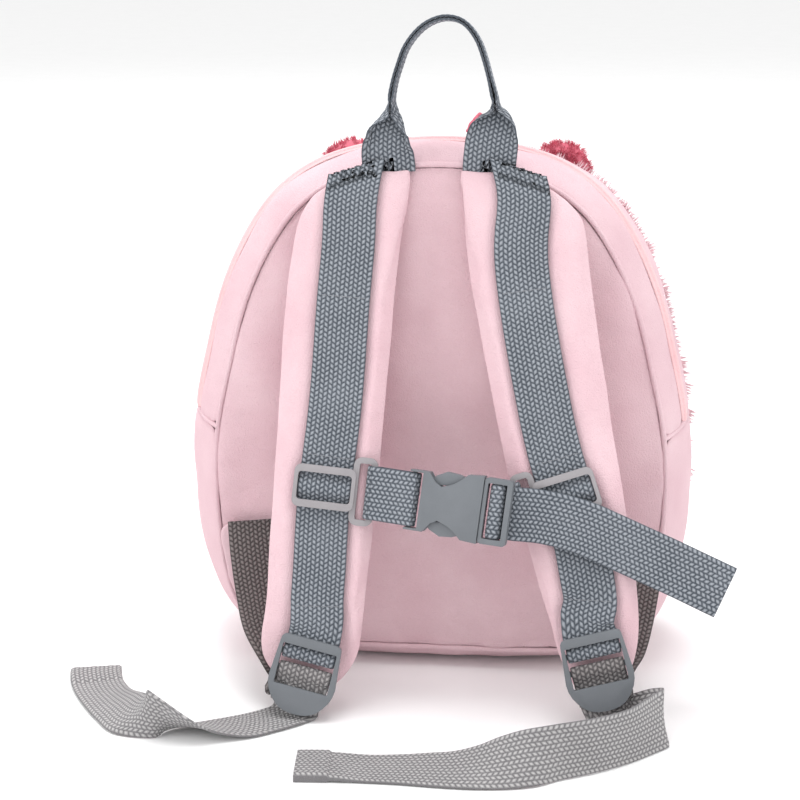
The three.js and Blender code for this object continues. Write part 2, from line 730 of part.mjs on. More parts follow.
// The shoulder webbing runs down the pad, over the slider's inner bar, then round the lock's
// upper bar and back up underneath.
const humpRows = [
  { away: -10.5, rise: 0 },
  { away: -5.5, rise: 0.22 },
  { away: -2, rise: 0.93 },
  { away: 0, rise: 1 },
  { away: 2, rise: 0.93 },
  { away: 5.5, rise: 0.22 },
  { away: 10.5, rise: 0 },
];

function shoulderWebbing(course, frame, lockUp) {
  const rows = [];
  const sliderShare = course.shareAt(sliderHeightUp);
  const lockShare = course.shareAt(lockUp + lockTop + 12);
  const reach = humpRows[humpRows.length - 1].away / course.strapDrop;
  const stations = [];
  for (let i = 0; i <= padSteps; i++) {
    const share = Math.max(0.004, i / padSteps);
    if (share < lockShare && Math.abs(share - sliderShare) > reach) stations.push({ share, hump: 0 });
  }
  for (const { away, rise } of humpRows) {
    stations.push({ share: sliderShare + away / course.strapDrop, hump: rise * coreRise });
  }
  stations.sort((a, b) => a.share - b.share);
  for (const { share, hump } of stations) {
    const x = course.webX(share);
    const ease = webTopEase * Math.max(0, 1 - share / padBend);
    const p = course.point(share, x - course.centreX(share), padHalfAt(share) + webLift + ease + hump);
    const step = 0.01;
    const slope = (course.webX(Math.min(1, share + step)) - course.webX(Math.max(0, share - step)))
      / (2 * step * course.strapDrop);
    const edgeAt = (side) => course.point(share, x - course.centreX(share) + side * webbingWidth / 2, 0).y;
    const seamTilt = (edgeAt(1) - edgeAt(-1)) / webbingWidth;
    const tilt = slope * (1 - course.fadeAt(share)) + seamTilt;
    const across = new THREE.Vector3(1, tilt, 0).transformDirection(strapPlane.matrixWorld);
    rows.push({ at: p.applyMatrix4(strapPlane.matrixWorld).toArray(), across: across.toArray() });
  }
  rows.push(lockRow(frame, lockTop + 5, frontLayer + 0.2));
  rows.push(lockRow(frame, lockWindowHigh + 1, frontLayer));
  for (const { up, out } of turnUpper) rows.push(lockRow(frame, lockBarA + up, out));
  rows.push(lockRow(frame, lockTop, backLayer));
  return strap(rows, webbingWidth, () => webbingThick, Math.round((rows.length - 1) * 1.5));
}

// The lower webbing runs from the side seam, behind the pad's lower end, up through the lock,
// round its lower bar and out as the free tail.
function lowerWebbing(frame, course, turnX, startRows, leaveRows, tailRows) {
  const rows = [...startRows];
  const behind = padSewnThick / 2 + seamGap + webbingThick / 2;
  const turns = [
    { up: course.end + 9, out: -behind - 4 },
    { up: course.end, out: -behind - 0.8 },
    { up: course.end - 2.6, out: -behind * 0.6 },
    { up: course.end - 3, out: behind * 0.5 },
    { up: course.end - 0.6, out: behind + 0.5 },
  ];
  const along = new THREE.Vector3(1, 0, 0).transformDirection(frame).toArray();
  for (const { up, out } of turns) {
    rows.push({ at: toWorld(turnX, up, out).toArray(), across: along });
  }
  for (const { up, out } of turnLower) rows.push(lockRow(frame, lockBarB + up, out));
  rows.push(lockRow(frame, lockWindowLow - 1, frontLayer));
  for (const { x, up, out, across } of leaveRows) {
    rows.push({
      at: new THREE.Vector3(x, up, out).applyMatrix4(frame).toArray(),
      across: new THREE.Vector3(...across).transformDirection(frame).toArray(),
    });
  }
  rows.push(...tailRows);
  const steps = Math.round((rows.length - 1) * 1.5);
  const thickAt = (t) => (t > 1 - 1.5 / steps ? hemThick : webbingThick);
  return strap(rows, webbingWidth, thickAt, steps, true);
}

const startRowsLeft = [
  { at: [-90.5, -49, 76], across: [0.98, 0, -0.18] },
  { at: [-89.5, -51.5, 66], across: [0.98, 0, -0.18] },
  { at: [-84, -66, 45], across: [0.96, 0.1, -0.22] },
  { at: [-74, -88, 26], across: [0.93, 0.2, -0.25] },
];
const leaveRowsLeft = [
  { x: -2, up: -11, out: 2, across: [0.98, -0.2, 0] },
];
const tailRowsLeft = [
  { at: [-61.5, -109.8, 6.5], across: [0.84, -0.2, -0.46] },
  { at: [-62.3, -109.4, 2.6], across: [0.82, -0.3, -0.1] },
  { at: [-64.2, -110.6, 0.8], across: [0.78, -0.6, 0] },
  { at: [-70, -116.2, 0.8], across: [0.7, -0.72, 0] },
  { at: [-83, -127, 0.9], across: [0.45, -0.9, 0] },
  { at: [-102, -136, 3.5], across: [0.05, -0.95, 0.25] },
  { at: [-122, -144, 9], across: [0.3, -0.25, 0.92] },
  { at: [-138, -127, 6.5], across: [0.72, 0.55, 0.42] },
  { at: [-154, -101, 2.2], across: [0.9, 0.42, 0.1] },
  { at: [-164, -80, 1.2], across: [0.99, 0.12, 0] },
  { at: [-167, -68, 1.4], across: [1, 0, 0] },
];
const startRowsRight = [
  { at: [97, -49, 60], across: [0.96, 0, 0.28] },
  { at: [96.5, -52.5, 53], across: [0.96, 0, 0.28] },
  { at: [93, -70, 37], across: [0.96, 0.1, 0.22] },
  { at: [88, -88, 25], across: [0.96, 0.15, 0.22] },
];
const leaveRowsRight = [
  { x: 0.5, up: -14, out: 2.3, across: [1, 0, 0] },
  { x: 1.5, up: -20, out: 1.8, across: [1, 0, 0.05] },
];
const tailRowsRight = [
  { at: [92, -113, 6.5], across: [0.8, 0.3, 0.5] },
  { at: [103, -116, 10], across: [0.15, 0.55, 0.82] },
  { at: [110.5, -121, 11.5], across: [-0.2, 0.45, 0.87] },
  { at: [106, -131, 12], across: [-0.15, 0.25, 0.95] },
  { at: [90, -151, 12.5], across: [0, 0.08, 1] },
  { at: [65, -166, 12.4], across: [0, 0.2, 0.98] },
  { at: [47, -171, 10], across: [0, 0.62, 0.78] },
  { at: [30, -171, 5.8], across: [0, 0.9, 0.42] },
  { at: [12, -170, 3], across: [0, 0.98, 0.2] },
  { at: [-6, -168.5, 1.8], across: [0, 1, 0.1] },
  { at: [-28, -168.5, 1.3], across: [0, 1, 0.05] },
  { at: [-52, -170, 1.4], across: [0.05, 1, 0.05] },
];

// The chest strap lies on its own level over the shoulder straps.
const loopOuterBar = sliderWidth / 2 + loopReach - loopBar / 2;

function planeFrame(x, up, out, tilt) {
  const frame = new THREE.Matrix4().makeRotationZ(THREE.MathUtils.degToRad(tilt));
  frame.setPosition(x, up, out);
  return frame;
}

// Degrees by which the shoulder webbing runs off the vertical at the slider.
function webTilt(course) {
  const half = sliderHeight / 2;
  const above = course.webX(course.shareAt(sliderHeightUp + half));
  const below = course.webX(course.shareAt(sliderHeightUp - half));
  return THREE.MathUtils.radToDeg(Math.atan2(below - above, sliderHeight));
}

const sliderXLeft = courseLeft.webX(courseLeft.shareAt(sliderHeightUp));
const sliderXRight = courseRight.webX(courseRight.shareAt(sliderHeightUp));
const sliderFrameLeft = planeFrame(sliderXLeft, sliderHeightUp, sliderBase, webTilt(courseLeft));
const sliderFrameRight = planeFrame(sliderXRight, sliderHeightUp, sliderBase, webTilt(courseRight));

// The buckle, in its own frame: x along the strap from the female end to the male end.
const buckleFrame = planeFrame(buckleCentreX, buckleUp, buckleOut, buckleTilt);
buckleFrame.multiply(new THREE.Matrix4().makeRotationY(THREE.MathUtils.degToRad(buckleTurn)));
const splitX = 10.5;
const femaleLeft = splitX - buckleLength;
const wall = 1.7;
const prongGap = 0.35;
const femaleBarLow = 2.9;
const femaleBarHigh = 5.1;
const maleBarLow = 3.2;
const maleBarHigh = 5.4;

function femaleShape() {
  const half = buckleHeight / 2;
  const endHalf = half - 1.8;
  const waistX = splitX - 17;
  const shape = new THREE.Shape();
  shape.moveTo(femaleLeft, -endHalf);
  shape.lineTo(waistX - waistWidth / 2, -endHalf);
  shape.quadraticCurveTo(waistX - 4, -endHalf + waistDepth + 2.4, waistX, -half + waistDepth + 1);
  shape.quadraticCurveTo(waistX + 4, -half + waistDepth, waistX + waistWidth / 2, -half + 0.6);
  shape.lineTo(splitX - prongGap, -half);
  shape.lineTo(splitX - prongGap, half);
  shape.lineTo(waistX + waistWidth / 2, half - 0.6);
  shape.quadraticCurveTo(waistX + 4, half - waistDepth, waistX, half - waistDepth - 1);
  shape.quadraticCurveTo(waistX - 4, endHalf - waistDepth - 2.4, waistX - waistWidth / 2, endHalf);
  shape.lineTo(femaleLeft, endHalf);
  return shape;
}

const prongRows = [
  { along: -2, centre: 9.6, half: 2.2 },
  { along: -8, centre: 10.8, half: 2.2 },
  { along: -12, centre: 11.6, half: 2.9 },
  { along: -18, centre: 11.9, half: 3.2 },
  { along: -23, centre: 10.4, half: 2.2 },
  { along: -26, centre: 8.6, half: 1.0 },
];

// One springy prong of the male half, as a plate of changing width.
function prongShape(side, grow) {
  const shape = new THREE.Shape();
  const edge = (sign) => prongRows.map(({ along, centre, half }) =>
    new THREE.Vector2(splitX + along, side * (centre + sign * (half + grow))));
  const upper = edge(1);
  const lower = edge(-1);
  if (grow > 0) {
    upper.unshift(new THREE.Vector2(splitX + 1, upper[0].y));
    lower.unshift(new THREE.Vector2(splitX + 1, lower[0].y));
    upper.push(new THREE.Vector2(splitX - 26 - grow, upper[upper.length - 1].y));
    lower.push(new THREE.Vector2(splitX - 26 - grow, lower[lower.length - 1].y));
  }
  shape.setFromPoints([...upper, ...lower.reverse()]);
  return shape;
}

function buckleFemale() {
  const body = plate(femaleShape(), 0, buckleThick, 3);
  const cavityHalf = buckleHeight / 2 - wall;
  const pocket = block(splitX - 14, splitX + 1, -cavityHalf + 0.6, cavityHalf - 0.6,
    wall, buckleThick - wall);
  const lanes = [-1, 1].map((side) => plate(prongShape(side, prongGap), wall, buckleThick - 2 * wall));
  const waists = [-1, 1].map((side) => block(splitX - 26, splitX - 9,
    Math.min(side * 8.2, side * 30), Math.max(side * 8.2, side * 30), wall, buckleThick - wall));
  const window = block(femaleLeft - 1, femaleLeft + 6.2, -webbingWidth / 2 - 0.8, webbingWidth / 2 + 0.8,
    -1, buckleThick + 1);
  const opened = cut(body, pocket, ...lanes, ...waists, window);
  const bar = block(femaleLeft + 0.8, femaleLeft + 2.8,
    -webbingWidth / 2 - 1.6, webbingWidth / 2 + 1.6, femaleBarLow, femaleBarHigh);
  return join(opened, bar);
}

function buckleMale() {
  const half = buckleHeight / 2 - 0.4;
  const low = wall + prongGap;
  const high = buckleThick - wall - prongGap;
  const base = roundedPath(new THREE.Shape(), splitX, splitX + maleLength, -half, half, 1.6);
  base.holes.push(roundedPath(new THREE.Path(), splitX + 1.6, splitX + maleLength - 2.4,
    -webbingWidth / 2 - 0.6, webbingWidth / 2 + 0.6, 0.5));
  const bar = block(splitX + 5, splitX + 7.8,
    -webbingWidth / 2 - 1.6, webbingWidth / 2 + 1.6, maleBarLow, maleBarHigh);
  const prongs = [-1, 1].map((side) => plate(prongShape(side, 0), low, high - low));
  const neck = block(splitX - 3, splitX + 1, -11, 11, low, high);
  const spine = block(splitX - 12, splitX - 2, -2.2, 2.2, low, high);
  return join(plate(base, 0.6, buckleThick - 1.2, 3), bar, ...prongs, neck, spine);
}

// The short left chest webbing: a flat band sewn round the slider's loop and the buckle's bar.
function chestBand(from, to) {
  const along = to.at.clone().sub(from.at).normalize();
  const out = new THREE.Vector3(0, 0, 1).addScaledVector(along, -along.z).normalize();
  const turnSteps = 6;
  const path = [];
  for (let k = 0; k <= turnSteps; k++) {
    const a = Math.PI / 2 + Math.PI * k / turnSteps;
    path.push({ end: from, a });
  }
  for (let k = 0; k <= turnSteps; k++) {
    const a = -Math.PI / 2 + Math.PI * k / turnSteps;
    path.push({ end: to, a });
  }
  const face = (grow) => (i, j) => {
    const { end, a } = path[i % path.length];
    const { at, across, radius } = end;
    return at.clone()
      .addScaledVector(along, Math.cos(a) * (radius + grow))
      .addScaledVector(out, Math.sin(a) * (radius + grow))
      .addScaledVector(across, (j - 0.5) * webbingWidth);
  };
  return wallBetween(face(webbingThick), face(0), path.length, 1, true);
}

// Where the right chest webbing runs in the male half, from its left edge and base.
const maleRows = [
  { x: 4.2, out: -2.5 },
  { x: 3.3, out: -0.6 },
  { x: 3.3, out: 2.5 },
  { x: 3.6, out: 5.4 },
  { x: 5, out: 6.4 },
  { x: 7, out: 6.4 },
  { x: 8.7, out: 5.6 },
  { x: 9.3, out: 3.2 },
  { x: 9.5, out: 0.6 },
  { x: 10.1, out: -0.35 },
  { x: 12, out: -0.45 },
  { x: 15, out: -0.4 },
];

// The long right chest webbing: round the slider's loop, under and over the buckle's bar, then
// out to the right over the shoulder strap as the free tail.
function chestTail(frame) {
  const onPlane = (x, up, out, acrossX, acrossUp, acrossOut = 0) => {
    const at = toWorld(x, up, out);
    const across = new THREE.Vector3(acrossX, acrossUp, acrossOut)
      .transformDirection(strapPlane.matrixWorld);
    return { at: at.toArray(), across: across.toArray() };
  };
  const inBuckle = (x, out) => {
    const at = new THREE.Vector3(x, 0, out).applyMatrix4(frame).applyMatrix4(strapPlane.matrixWorld);
    const across = new THREE.Vector3(0, 1, 0).transformDirection(frame)
      .transformDirection(strapPlane.matrixWorld);
    return { at: at.toArray(), across: across.toArray() };
  };
  const inLoop = (x, out) => {
    const at = new THREE.Vector3(x, 0, out).applyMatrix4(sliderFrameRight);
    const across = new THREE.Vector3(0, 1, 0).transformDirection(sliderFrameRight);
    return { at: at.applyMatrix4(strapPlane.matrixWorld).toArray(),
      across: across.transformDirection(strapPlane.matrixWorld).toArray() };
  };
  const loopMiddle = loopLow + sliderThick / 2;
  const round = sliderThick / 2 + seamGap + webbingThick / 2;
  const overSlider = sliderBase + sliderLow + sliderThick + seamGap + webbingThick / 2;
  const rows = [
    inLoop(-loopOuterBar - 4.5, loopMiddle - round + 0.1),
    inLoop(-loopOuterBar, loopMiddle - round),
    inLoop(-loopOuterBar + 1.6, loopMiddle - round + 0.2),
    inLoop(-loopOuterBar + round + 0.6, loopMiddle),
    inLoop(-loopOuterBar + 1.6, loopMiddle + round - 0.1),
    inLoop(-loopOuterBar, loopMiddle + round),
    ...maleRows.map(({ x, out }) => inBuckle(splitX + x, out)),
    onPlane(sliderXRight - 9, 97.5, overSlider + 0.4, 0.2, 1),
    onPlane(sliderXRight + 9, 93, overSlider + 0.3, 0.27, 1),
    onPlane(90, 85.8, overSlider - 1.8, 0.31, 1),
    onPlane(112, 76.5, overSlider - 3.6, 0.33, 1),
    onPlane(130, 68.5, overSlider - 4.6, 0.33, 1),
    onPlane(137.5, 65.2, overSlider - 4.8, 0.33, 1),
  ];
  const steps = Math.round((rows.length - 1) * 1.5);
  const thickAt = (t) => (t > 1 - 1.5 / steps ? hemThick : webbingThick);
  return strap(rows, webbingWidth, thickAt, steps);
}

// The grab handle: flat sewn feet that fold together into a narrow loop.
function grabHandle() {
  const y = -halfDepth - 2 * seamGap - handleFootThick / 2;
  const rows = [];
  const foot = (side) => {
    const seamAt = (x) => {
      let best = seamPoint(0.5).point;
      for (let k = 0; k <= 200; k++) {
        const { point } = seamPoint(0.3 + 0.4 * k / 200);
        if (Math.abs(point.x - side * x) < Math.abs(best.x - side * x)) best = point;
      }
      return best.z;
    };
    const middle = side * (handleFootIn + handleFootOut) / 2;
    const wide = handleFootOut - handleFootIn;
    const tilt = (seamAt(handleFootOut) - seamAt(handleFootIn)) / wide;
    const z = seamAt(Math.abs(middle)) - 0.5;
    const acrossFoot = [side, 0, tilt];
    return [
      { at: [middle, y, z], across: acrossFoot, wide, thick: handleFootThick },
      { at: [middle, y, z + 9], across: [side, 0, tilt * 0.5], wide: wide * 1.04, thick: handleFootThick },
      { at: [middle * 1.01, y + 0.6, z + 19], across: [side, 0, 0],
        wide: wide * 0.74, thick: handleRopeThick },
      { at: [side * handleSpread, y + 1, handleThroat], across: [side, 0, 0],
        wide: handleRopeWidth, thick: handleRopeThick + 1 },
    ];
  };
  const archSteps = 9;
  const arch = [];
  for (let k = 1; k < archSteps; k++) {
    const a = Math.PI * k / archSteps;
    const shape = Math.pow(Math.sin(a), 0.78);
    const x = Math.cos(a) * handleSpread * (1 + 0.12 * Math.sin(a));
    arch.push({
      at: [-x, y + 1, handleThroat + (handleRise - handleRopeWidth / 2 - handleThroat) * shape],
      across: [-Math.cos(a), 0, Math.sin(a) * 1.2],
      wide: handleRopeWidth * (1 - 0.2 * Math.sin(a)),
      thick: handleRopeThick,
    });
  }
  rows.push(...foot(-1), ...arch, ...foot(1).reverse());
  const face = (side) => (i, j) => {
    const { at, across, wide, thick } = rows[i];
    const p = new THREE.Vector3(...at);
    p.addScaledVector(new THREE.Vector3(...across).normalize(), (j / 2 - 0.5) * wide);
    p.y -= side * thick / 2;
    return p;
  };
  return wallBetween(face(1), face(-1), rows.length - 1, 2);
}

// The pink cloth tab that holds the lower webbing in the side seam.
function sideTab(side) {
  const steps = 7;
  const place = (front) => (i, j) => {
    const share = i / steps;
    const u = side * THREE.MathUtils.lerp(tabFromShare, tabToShare, share);
    const wide = tabWidth / seamHalfWidth * (0.25 + 0.75 * Math.sin(Math.PI * (0.12 + 0.62 * share)));
    const p = panelPoint(u, 0.985 - wide * j / 2, -1, 0);
    p.y -= seamGap + (front ? tabThick : 0);
    return p;
  };
  return wallBetween(place(true), place(false), steps, 2);
}

// The fabric zip pull, standing up from the zip just beside the handle.
function zipPull() {
  const { point, out } = seamPoint(0.5 - 0.012);
  const y = -halfDepth + bagDepth * zipPlace;
  const base = point.z + swellAt(out, zipPlace) + coilHeight + seamGap;
  const rows = [
    { at: [11, y, base + 0.4], across: [0.2, 1, 0] },
    { at: [12.2, y + 0.5, base + 3], across: [0.2, 1, 0] },
    { at: [14.5, y + 1.5, base + 6.5], across: [0.2, 1, 0] },
    { at: [17.5, y + 2.5, base + 9.5], across: [0.2, 1, 0] },
  ];
  return strap(rows, 6, () => 3, 6);
}

// Materials
const finish = (color, roughness) => new THREE.MeshStandardMaterial({ color, roughness, metalness: 0 });
const plush = finish(0xe4c8ce, 0.95);
const padPlush = finish(0xebcdd2, 0.95);
const fur = finish(0xf3dfe2, 0.98);
const rosePlush = finish(0xd76e82, 0.95);
const zipTape = finish(0xe6b4b9, 0.8);
const webbing = finish(0x8a8d93, 0.9);
const darkPlastic = finish(0x6e7378, 0.45);
const lightPlastic = finish(0x9b969b, 0.5);

// The whole object
const backpack = new THREE.Group();

function add(name, geometry, material, parent = backpack) {
  const mesh = new THREE.Mesh(closed(geometry), material);
  mesh.name = name;
  parent.add(mesh);
  return mesh;
}

add('back_panel', panel(-1, 3), plush);
add('gusset_lower', gussetStrip(lowerStations, 0, 1, 6), plush);
add('gusset_upper_back', gussetStrip(upperStations, 0, zipFrom, 2), plush);
add('zip', zipStrip(), zipTape);
add('gusset_upper_front', gussetStrip(upperStations, zipTo, 1, 4), plush);
add('front_fur_panel', furPanel(), fur);
add('ear_left', ear(-1), rosePlush);
add('ear_right', ear(1), rosePlush);
add('zip_pull', zipPull(), rosePlush);
add('handle', grabHandle(), webbing);
add('side_tab_left', sideTab(-1), plush);
add('side_tab_right', sideTab(1), plush);
add('lower_webbing_left', lowerWebbing(lockFrameLeft, courseLeft, lockXLeft - 7,
  startRowsLeft, leaveRowsLeft, tailRowsLeft), webbing);
add('lower_webbing_right', lowerWebbing(lockFrameRight, courseRight, lockXRight + 4,
  startRowsRight, leaveRowsRight, tailRowsRight), webbing);
add('shoulder_webbing_left', shoulderWebbing(courseLeft, lockFrameLeft, lockUpLeft), webbing);
add('shoulder_webbing_right', shoulderWebbing(courseRight, lockFrameRight, lockUpRight), webbing);
add('chest_webbing_right', chestTail(buckleFrame), webbing);

const straps = strapPlane;
add('shoulder_pad_left', shoulderPad(courseLeft), padPlush, straps);
add('shoulder_pad_right', shoulderPad(courseRight), padPlush, straps);

function addPlaced(name, geometry, material, frame) {
  const mesh = add(name, geometry, material, straps);
  mesh.applyMatrix4(frame);
}
addPlaced('chest_slider_left', chestSlider(1), lightPlastic, sliderFrameLeft);
addPlaced('chest_slider_right', chestSlider(-1), lightPlastic, sliderFrameRight);
addPlaced('buckle_female', buckleFemale(), darkPlastic, buckleFrame);
addPlaced('buckle_male', buckleMale(), darkPlastic, buckleFrame);
addPlaced('ladder_lock_left', ladderLock(), darkPlastic, intoStraps.clone().multiply(lockFrameLeft));
addPlaced('ladder_lock_right', ladderLock(), darkPlastic, intoStraps.clone().multiply(lockFrameRight));

const upAcross = new THREE.Vector3(0, 1, 0);
const loopEnd = {
  at: new THREE.Vector3(loopOuterBar, 0, loopLow + sliderThick / 2).applyMatrix4(sliderFrameLeft),
  across: upAcross.clone().transformDirection(sliderFrameLeft),
  radius: Math.hypot(loopBar, sliderThick) / 2 + seamGap,
};
const barEnd = {
  at: new THREE.Vector3(femaleLeft + 1.8, 0, 4).applyMatrix4(buckleFrame),
  across: upAcross.clone().transformDirection(buckleFrame),
  radius: Math.hypot(2, 2.2) / 2 + seamGap,
};
add('chest_webbing_left', chestBand(loopEnd, barEnd), webbing, straps);

backpack.add(straps);

export default backpack;
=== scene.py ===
# %% [markdown]
# # A child's plush animal backpack
# The bag stands on its base with the shoulder straps towards the camera. The imported CAD model is
# loaded first, as a fixed frame in metres. Most pieces below are made from its nodes or laid over
# them.

import math
import random

import bmesh
import bpy
from mathutils import Matrix, Vector, noise


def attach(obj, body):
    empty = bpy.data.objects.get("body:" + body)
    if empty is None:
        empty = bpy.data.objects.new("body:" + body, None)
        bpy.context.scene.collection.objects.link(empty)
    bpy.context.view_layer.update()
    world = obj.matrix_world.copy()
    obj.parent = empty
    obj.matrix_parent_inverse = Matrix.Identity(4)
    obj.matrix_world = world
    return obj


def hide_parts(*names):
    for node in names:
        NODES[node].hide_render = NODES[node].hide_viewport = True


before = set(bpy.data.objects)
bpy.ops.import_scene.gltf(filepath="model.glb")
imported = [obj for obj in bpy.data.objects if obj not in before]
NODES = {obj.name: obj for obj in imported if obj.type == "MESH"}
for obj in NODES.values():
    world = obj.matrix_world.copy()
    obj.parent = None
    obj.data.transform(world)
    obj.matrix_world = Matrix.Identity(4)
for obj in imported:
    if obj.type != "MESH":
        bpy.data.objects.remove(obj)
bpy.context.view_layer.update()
MM = 0.001
random.seed(7)
print("frame nodes:", len(NODES))

# %% [markdown]
# ## Camera
# The photograph looks a little down on the bag from the left. A long lens keeps the straps
# straight, so the camera stands more than a metre away and aims at a point beside the middle.

# %% Camera
AIM = Vector((-0.02317, 0.0, 0.12577))
CAMERA_TURN = math.radians(6)
CAMERA_RISE = math.radians(15)
CAMERA_REACH = 1.1
LENS_MM = 98.38
towards_camera = Vector((
    math.sin(CAMERA_TURN) * math.cos(CAMERA_RISE),
    -math.cos(CAMERA_TURN) * math.cos(CAMERA_RISE),
    math.sin(CAMERA_RISE),
))
bpy.ops.object.camera_add(location=AIM + CAMERA_REACH * towards_camera)
camera = bpy.context.object
camera.rotation_euler = towards_camera.to_track_quat("Z", "Y").to_euler()
camera.data.lens = LENS_MM
camera.data.sensor_width = 36
bpy.context.scene.camera = camera
print("camera at", [round(c, 3) for c in camera.location])

# %% [markdown]
# ## Floor and studio light
# The floor is one pale sheet. The photograph is a bright packshot: white air fills every shadow,
# one big soft light stands high on the left, a weaker one on the right, and the strongest ones
# hang above and behind the bag, so that the top of its side strip is almost white. The plain
# standard view keeps those whites white.

# %% Floor and lights
FLOOR_SIZE = 12
bpy.ops.mesh.primitive_plane_add(size=FLOOR_SIZE, location=(0, 0, -0.0004))
floor = bpy.context.object
floor.name = "floor"


def soft_light(name, place, size, power):
    """A square area light that faces the bag."""
    bpy.ops.object.light_add(type="AREA", location=place)
    lamp = bpy.context.object
    lamp.name = name
    lamp.data.size = size
    lamp.data.energy = power
    lamp.rotation_euler = (Vector(place) - AIM).to_track_quat("Z", "Y").to_euler()
    return lamp


soft_light("light_left", (-1.6, -1.1, 1.2), 1.0, 9)
soft_light("light_right", (1.6, -0.7, 0.9), 0.8, 4)
soft_light("light_back", (-0.3, 1.3, 1.5), 1.0, 16)
soft_light("light_top", (0.0, -0.2, 1.8), 0.9, 13)
world = bpy.data.worlds.new("studio_air")
bpy.context.scene.world = world
world.use_nodes = True
WORLD_WHITE = (1, 1, 1, 1)
world.node_tree.nodes["Background"].inputs["Color"].default_value = WORLD_WHITE
world.node_tree.nodes["Background"].inputs["Strength"].default_value = 0.93
bpy.context.scene.view_settings.view_transform = "Standard"

# %% [markdown]
# ## Shader arithmetic
# A material is a sum of small patterns, so its nodes are written as sums too. A `Signal` is one
# output socket that adds and multiplies like a number, and a `Finish` is one material that can
# add any other node by its type, its settings and its sockets.


# %% Signals and finishes
def plug(tree, socket, value):
    """Links a signal to a socket, or sets the socket to a plain value."""
    if isinstance(value, Signal):
        tree.links.new(value.socket, socket)
    else:
        socket.default_value = value


class Signal:
    """One output of a node, which works in sums like a number."""

    def __init__(self, tree, socket):
        self.tree = tree
        self.socket = socket

    def math(self, operation, other=0.0, flipped=False):
        step = self.tree.nodes.new("ShaderNodeMath")
        step.operation = operation
        pair = (other, self) if flipped else (self, other)
        plug(self.tree, step.inputs[0], pair[0])
        plug(self.tree, step.inputs[1], pair[1])
        return Signal(self.tree, step.outputs[0])

    def __add__(self, other):
        return self.math("ADD", other)

    def __mul__(self, other):
        return self.math("MULTIPLY", other)

    def __sub__(self, other):
        return self.math("SUBTRACT", other)

    def __rsub__(self, other):
        return self.math("SUBTRACT", other, flipped=True)

    def __truediv__(self, other):
        return self.math("DIVIDE", other)

    def __pow__(self, other):
        return self.math("POWER", other)

    __radd__ = __add__
    __rmul__ = __mul__

    def limited(self):
        step = self.tree.nodes.new("ShaderNodeClamp")
        plug(self.tree, step.inputs["Value"], self)
        return Signal(self.tree, step.outputs[0])


class Finish:
    """A procedural material built on one Principled shader."""

    def __init__(self, name, **constants):
        self.material = bpy.data.materials.new(name)
        self.material.use_nodes = True
        self.tree = self.material.node_tree
        self.shader = self.tree.nodes["Principled BSDF"]
        for socket, value in constants.items():
            self.shader.inputs[socket.replace("_", " ")].default_value = value

    def add(self, kind, settings=None, sockets=None, out=0):
        node = self.tree.nodes.new("ShaderNode" + kind)
        for key, value in (settings or {}).items():
            setattr(node, key, value)
        for key, value in (sockets or {}).items():
            plug(self.tree, node.inputs[key], value)
        return Signal(self.tree, node.outputs[out])

    def place(self):
        return self.add("TexCoord", out="Object")

    def across_and_along(self):
        cloth = self.add("UVMap")
        split = self.add("SeparateXYZ", sockets={0: cloth})
        return split, Signal(self.tree, split.socket.node.outputs[1])

    def speckle(self, size, detail=2.0, where=None):
        """Soft noise whose blobs are about size metres across."""
        settings = {"noise_dimensions": "3D"}
        sockets = {"Vector": where or self.place(), "Scale": 1 / size, "Detail": detail}
        return self.add("TexNoise", settings, sockets)

    def blend(self, share, low, high):
        """A colour between two colours."""
        sockets = {0: share, 6: low, 7: high}
        return self.add("Mix", {"data_type": "RGBA"}, sockets, out=2)

    def colour(self, signal):
        plug(self.tree, self.shader.inputs["Base Color"], signal)

    def rough(self, signal):
        plug(self.tree, self.shader.inputs["Roughness"], signal)

    def bumps(self, height, depth):
        """Turns a height signal into relief of depth metres."""
        relief = self.add("Bump", sockets={"Height": height, "Distance": depth, "Strength": 1.0})
        plug(self.tree, self.shader.inputs["Normal"], relief)


def rgb(red, green, blue):
    """A colour from the numbers that a picture shows it with."""
    def linear(value):
        value = value / 255
        return value / 12.92 if value < 0.04045 else ((value + 0.055) / 1.055) ** 2.4
    return (linear(red), linear(green), linear(blue), 1.0)


print("shader helpers ready")

# %% [markdown]
# ## Plush, fur and fleece
# Short plush is a dense pile. It glows a little at its edges, which is the shader's sheen, and
# it is darker where the pile has been brushed the other way, which is a large soft noise. The
# pile itself is a fine noise in the relief.


# %% Plush finishes
def plush_finish(name, light, shade, pile=0.0006, relief=0.0005, patch=0.035):
    finish = Finish(name, Sheen_Weight=0.35, Sheen_Roughness=0.45, Specular_IOR_Level=0.15)
    finish.shader.inputs["Sheen Tint"].default_value = light
    brushed = finish.speckle(patch, detail=3)
    fibres = finish.speckle(pile, detail=2)
    share = ((brushed - 0.5) * 1.3 + (fibres - 0.5) * 0.55 + 0.6).limited()
    finish.colour(finish.blend(share, shade, light))
    finish.rough(0.93 - fibres * 0.12)
    finish.bumps(fibres + brushed * 0.8, relief)
    return finish.material


PINK = rgb(230, 201, 207)
PINK_SHADE = rgb(212, 174, 183)
plush = plush_finish("plush", PINK, PINK_SHADE)
pad_plush = plush_finish("pad_plush", rgb(234, 204, 210), rgb(218, 179, 188), patch=0.028)
rose_plush = plush_finish("rose_plush", rgb(224, 132, 148), rgb(202, 96, 114), patch=0.012)
print("plush finishes made")

# %% [markdown]
# ## Woven webbing
# The strap tape is woven in ribs: each rib is a column of slanted oval floats, and neighbouring
# columns are set half a float apart and slant the other way, which gives the wheat pattern. The
# pattern follows the tape, so it reads the tape's own UV map, whose units are metres: the first
# runs across the tape and the second along it.

# %% Webbing finish
RIB_PITCH = 2.04 * MM
FLOAT_PITCH = 2.4 * MM
SLANT = 0.42


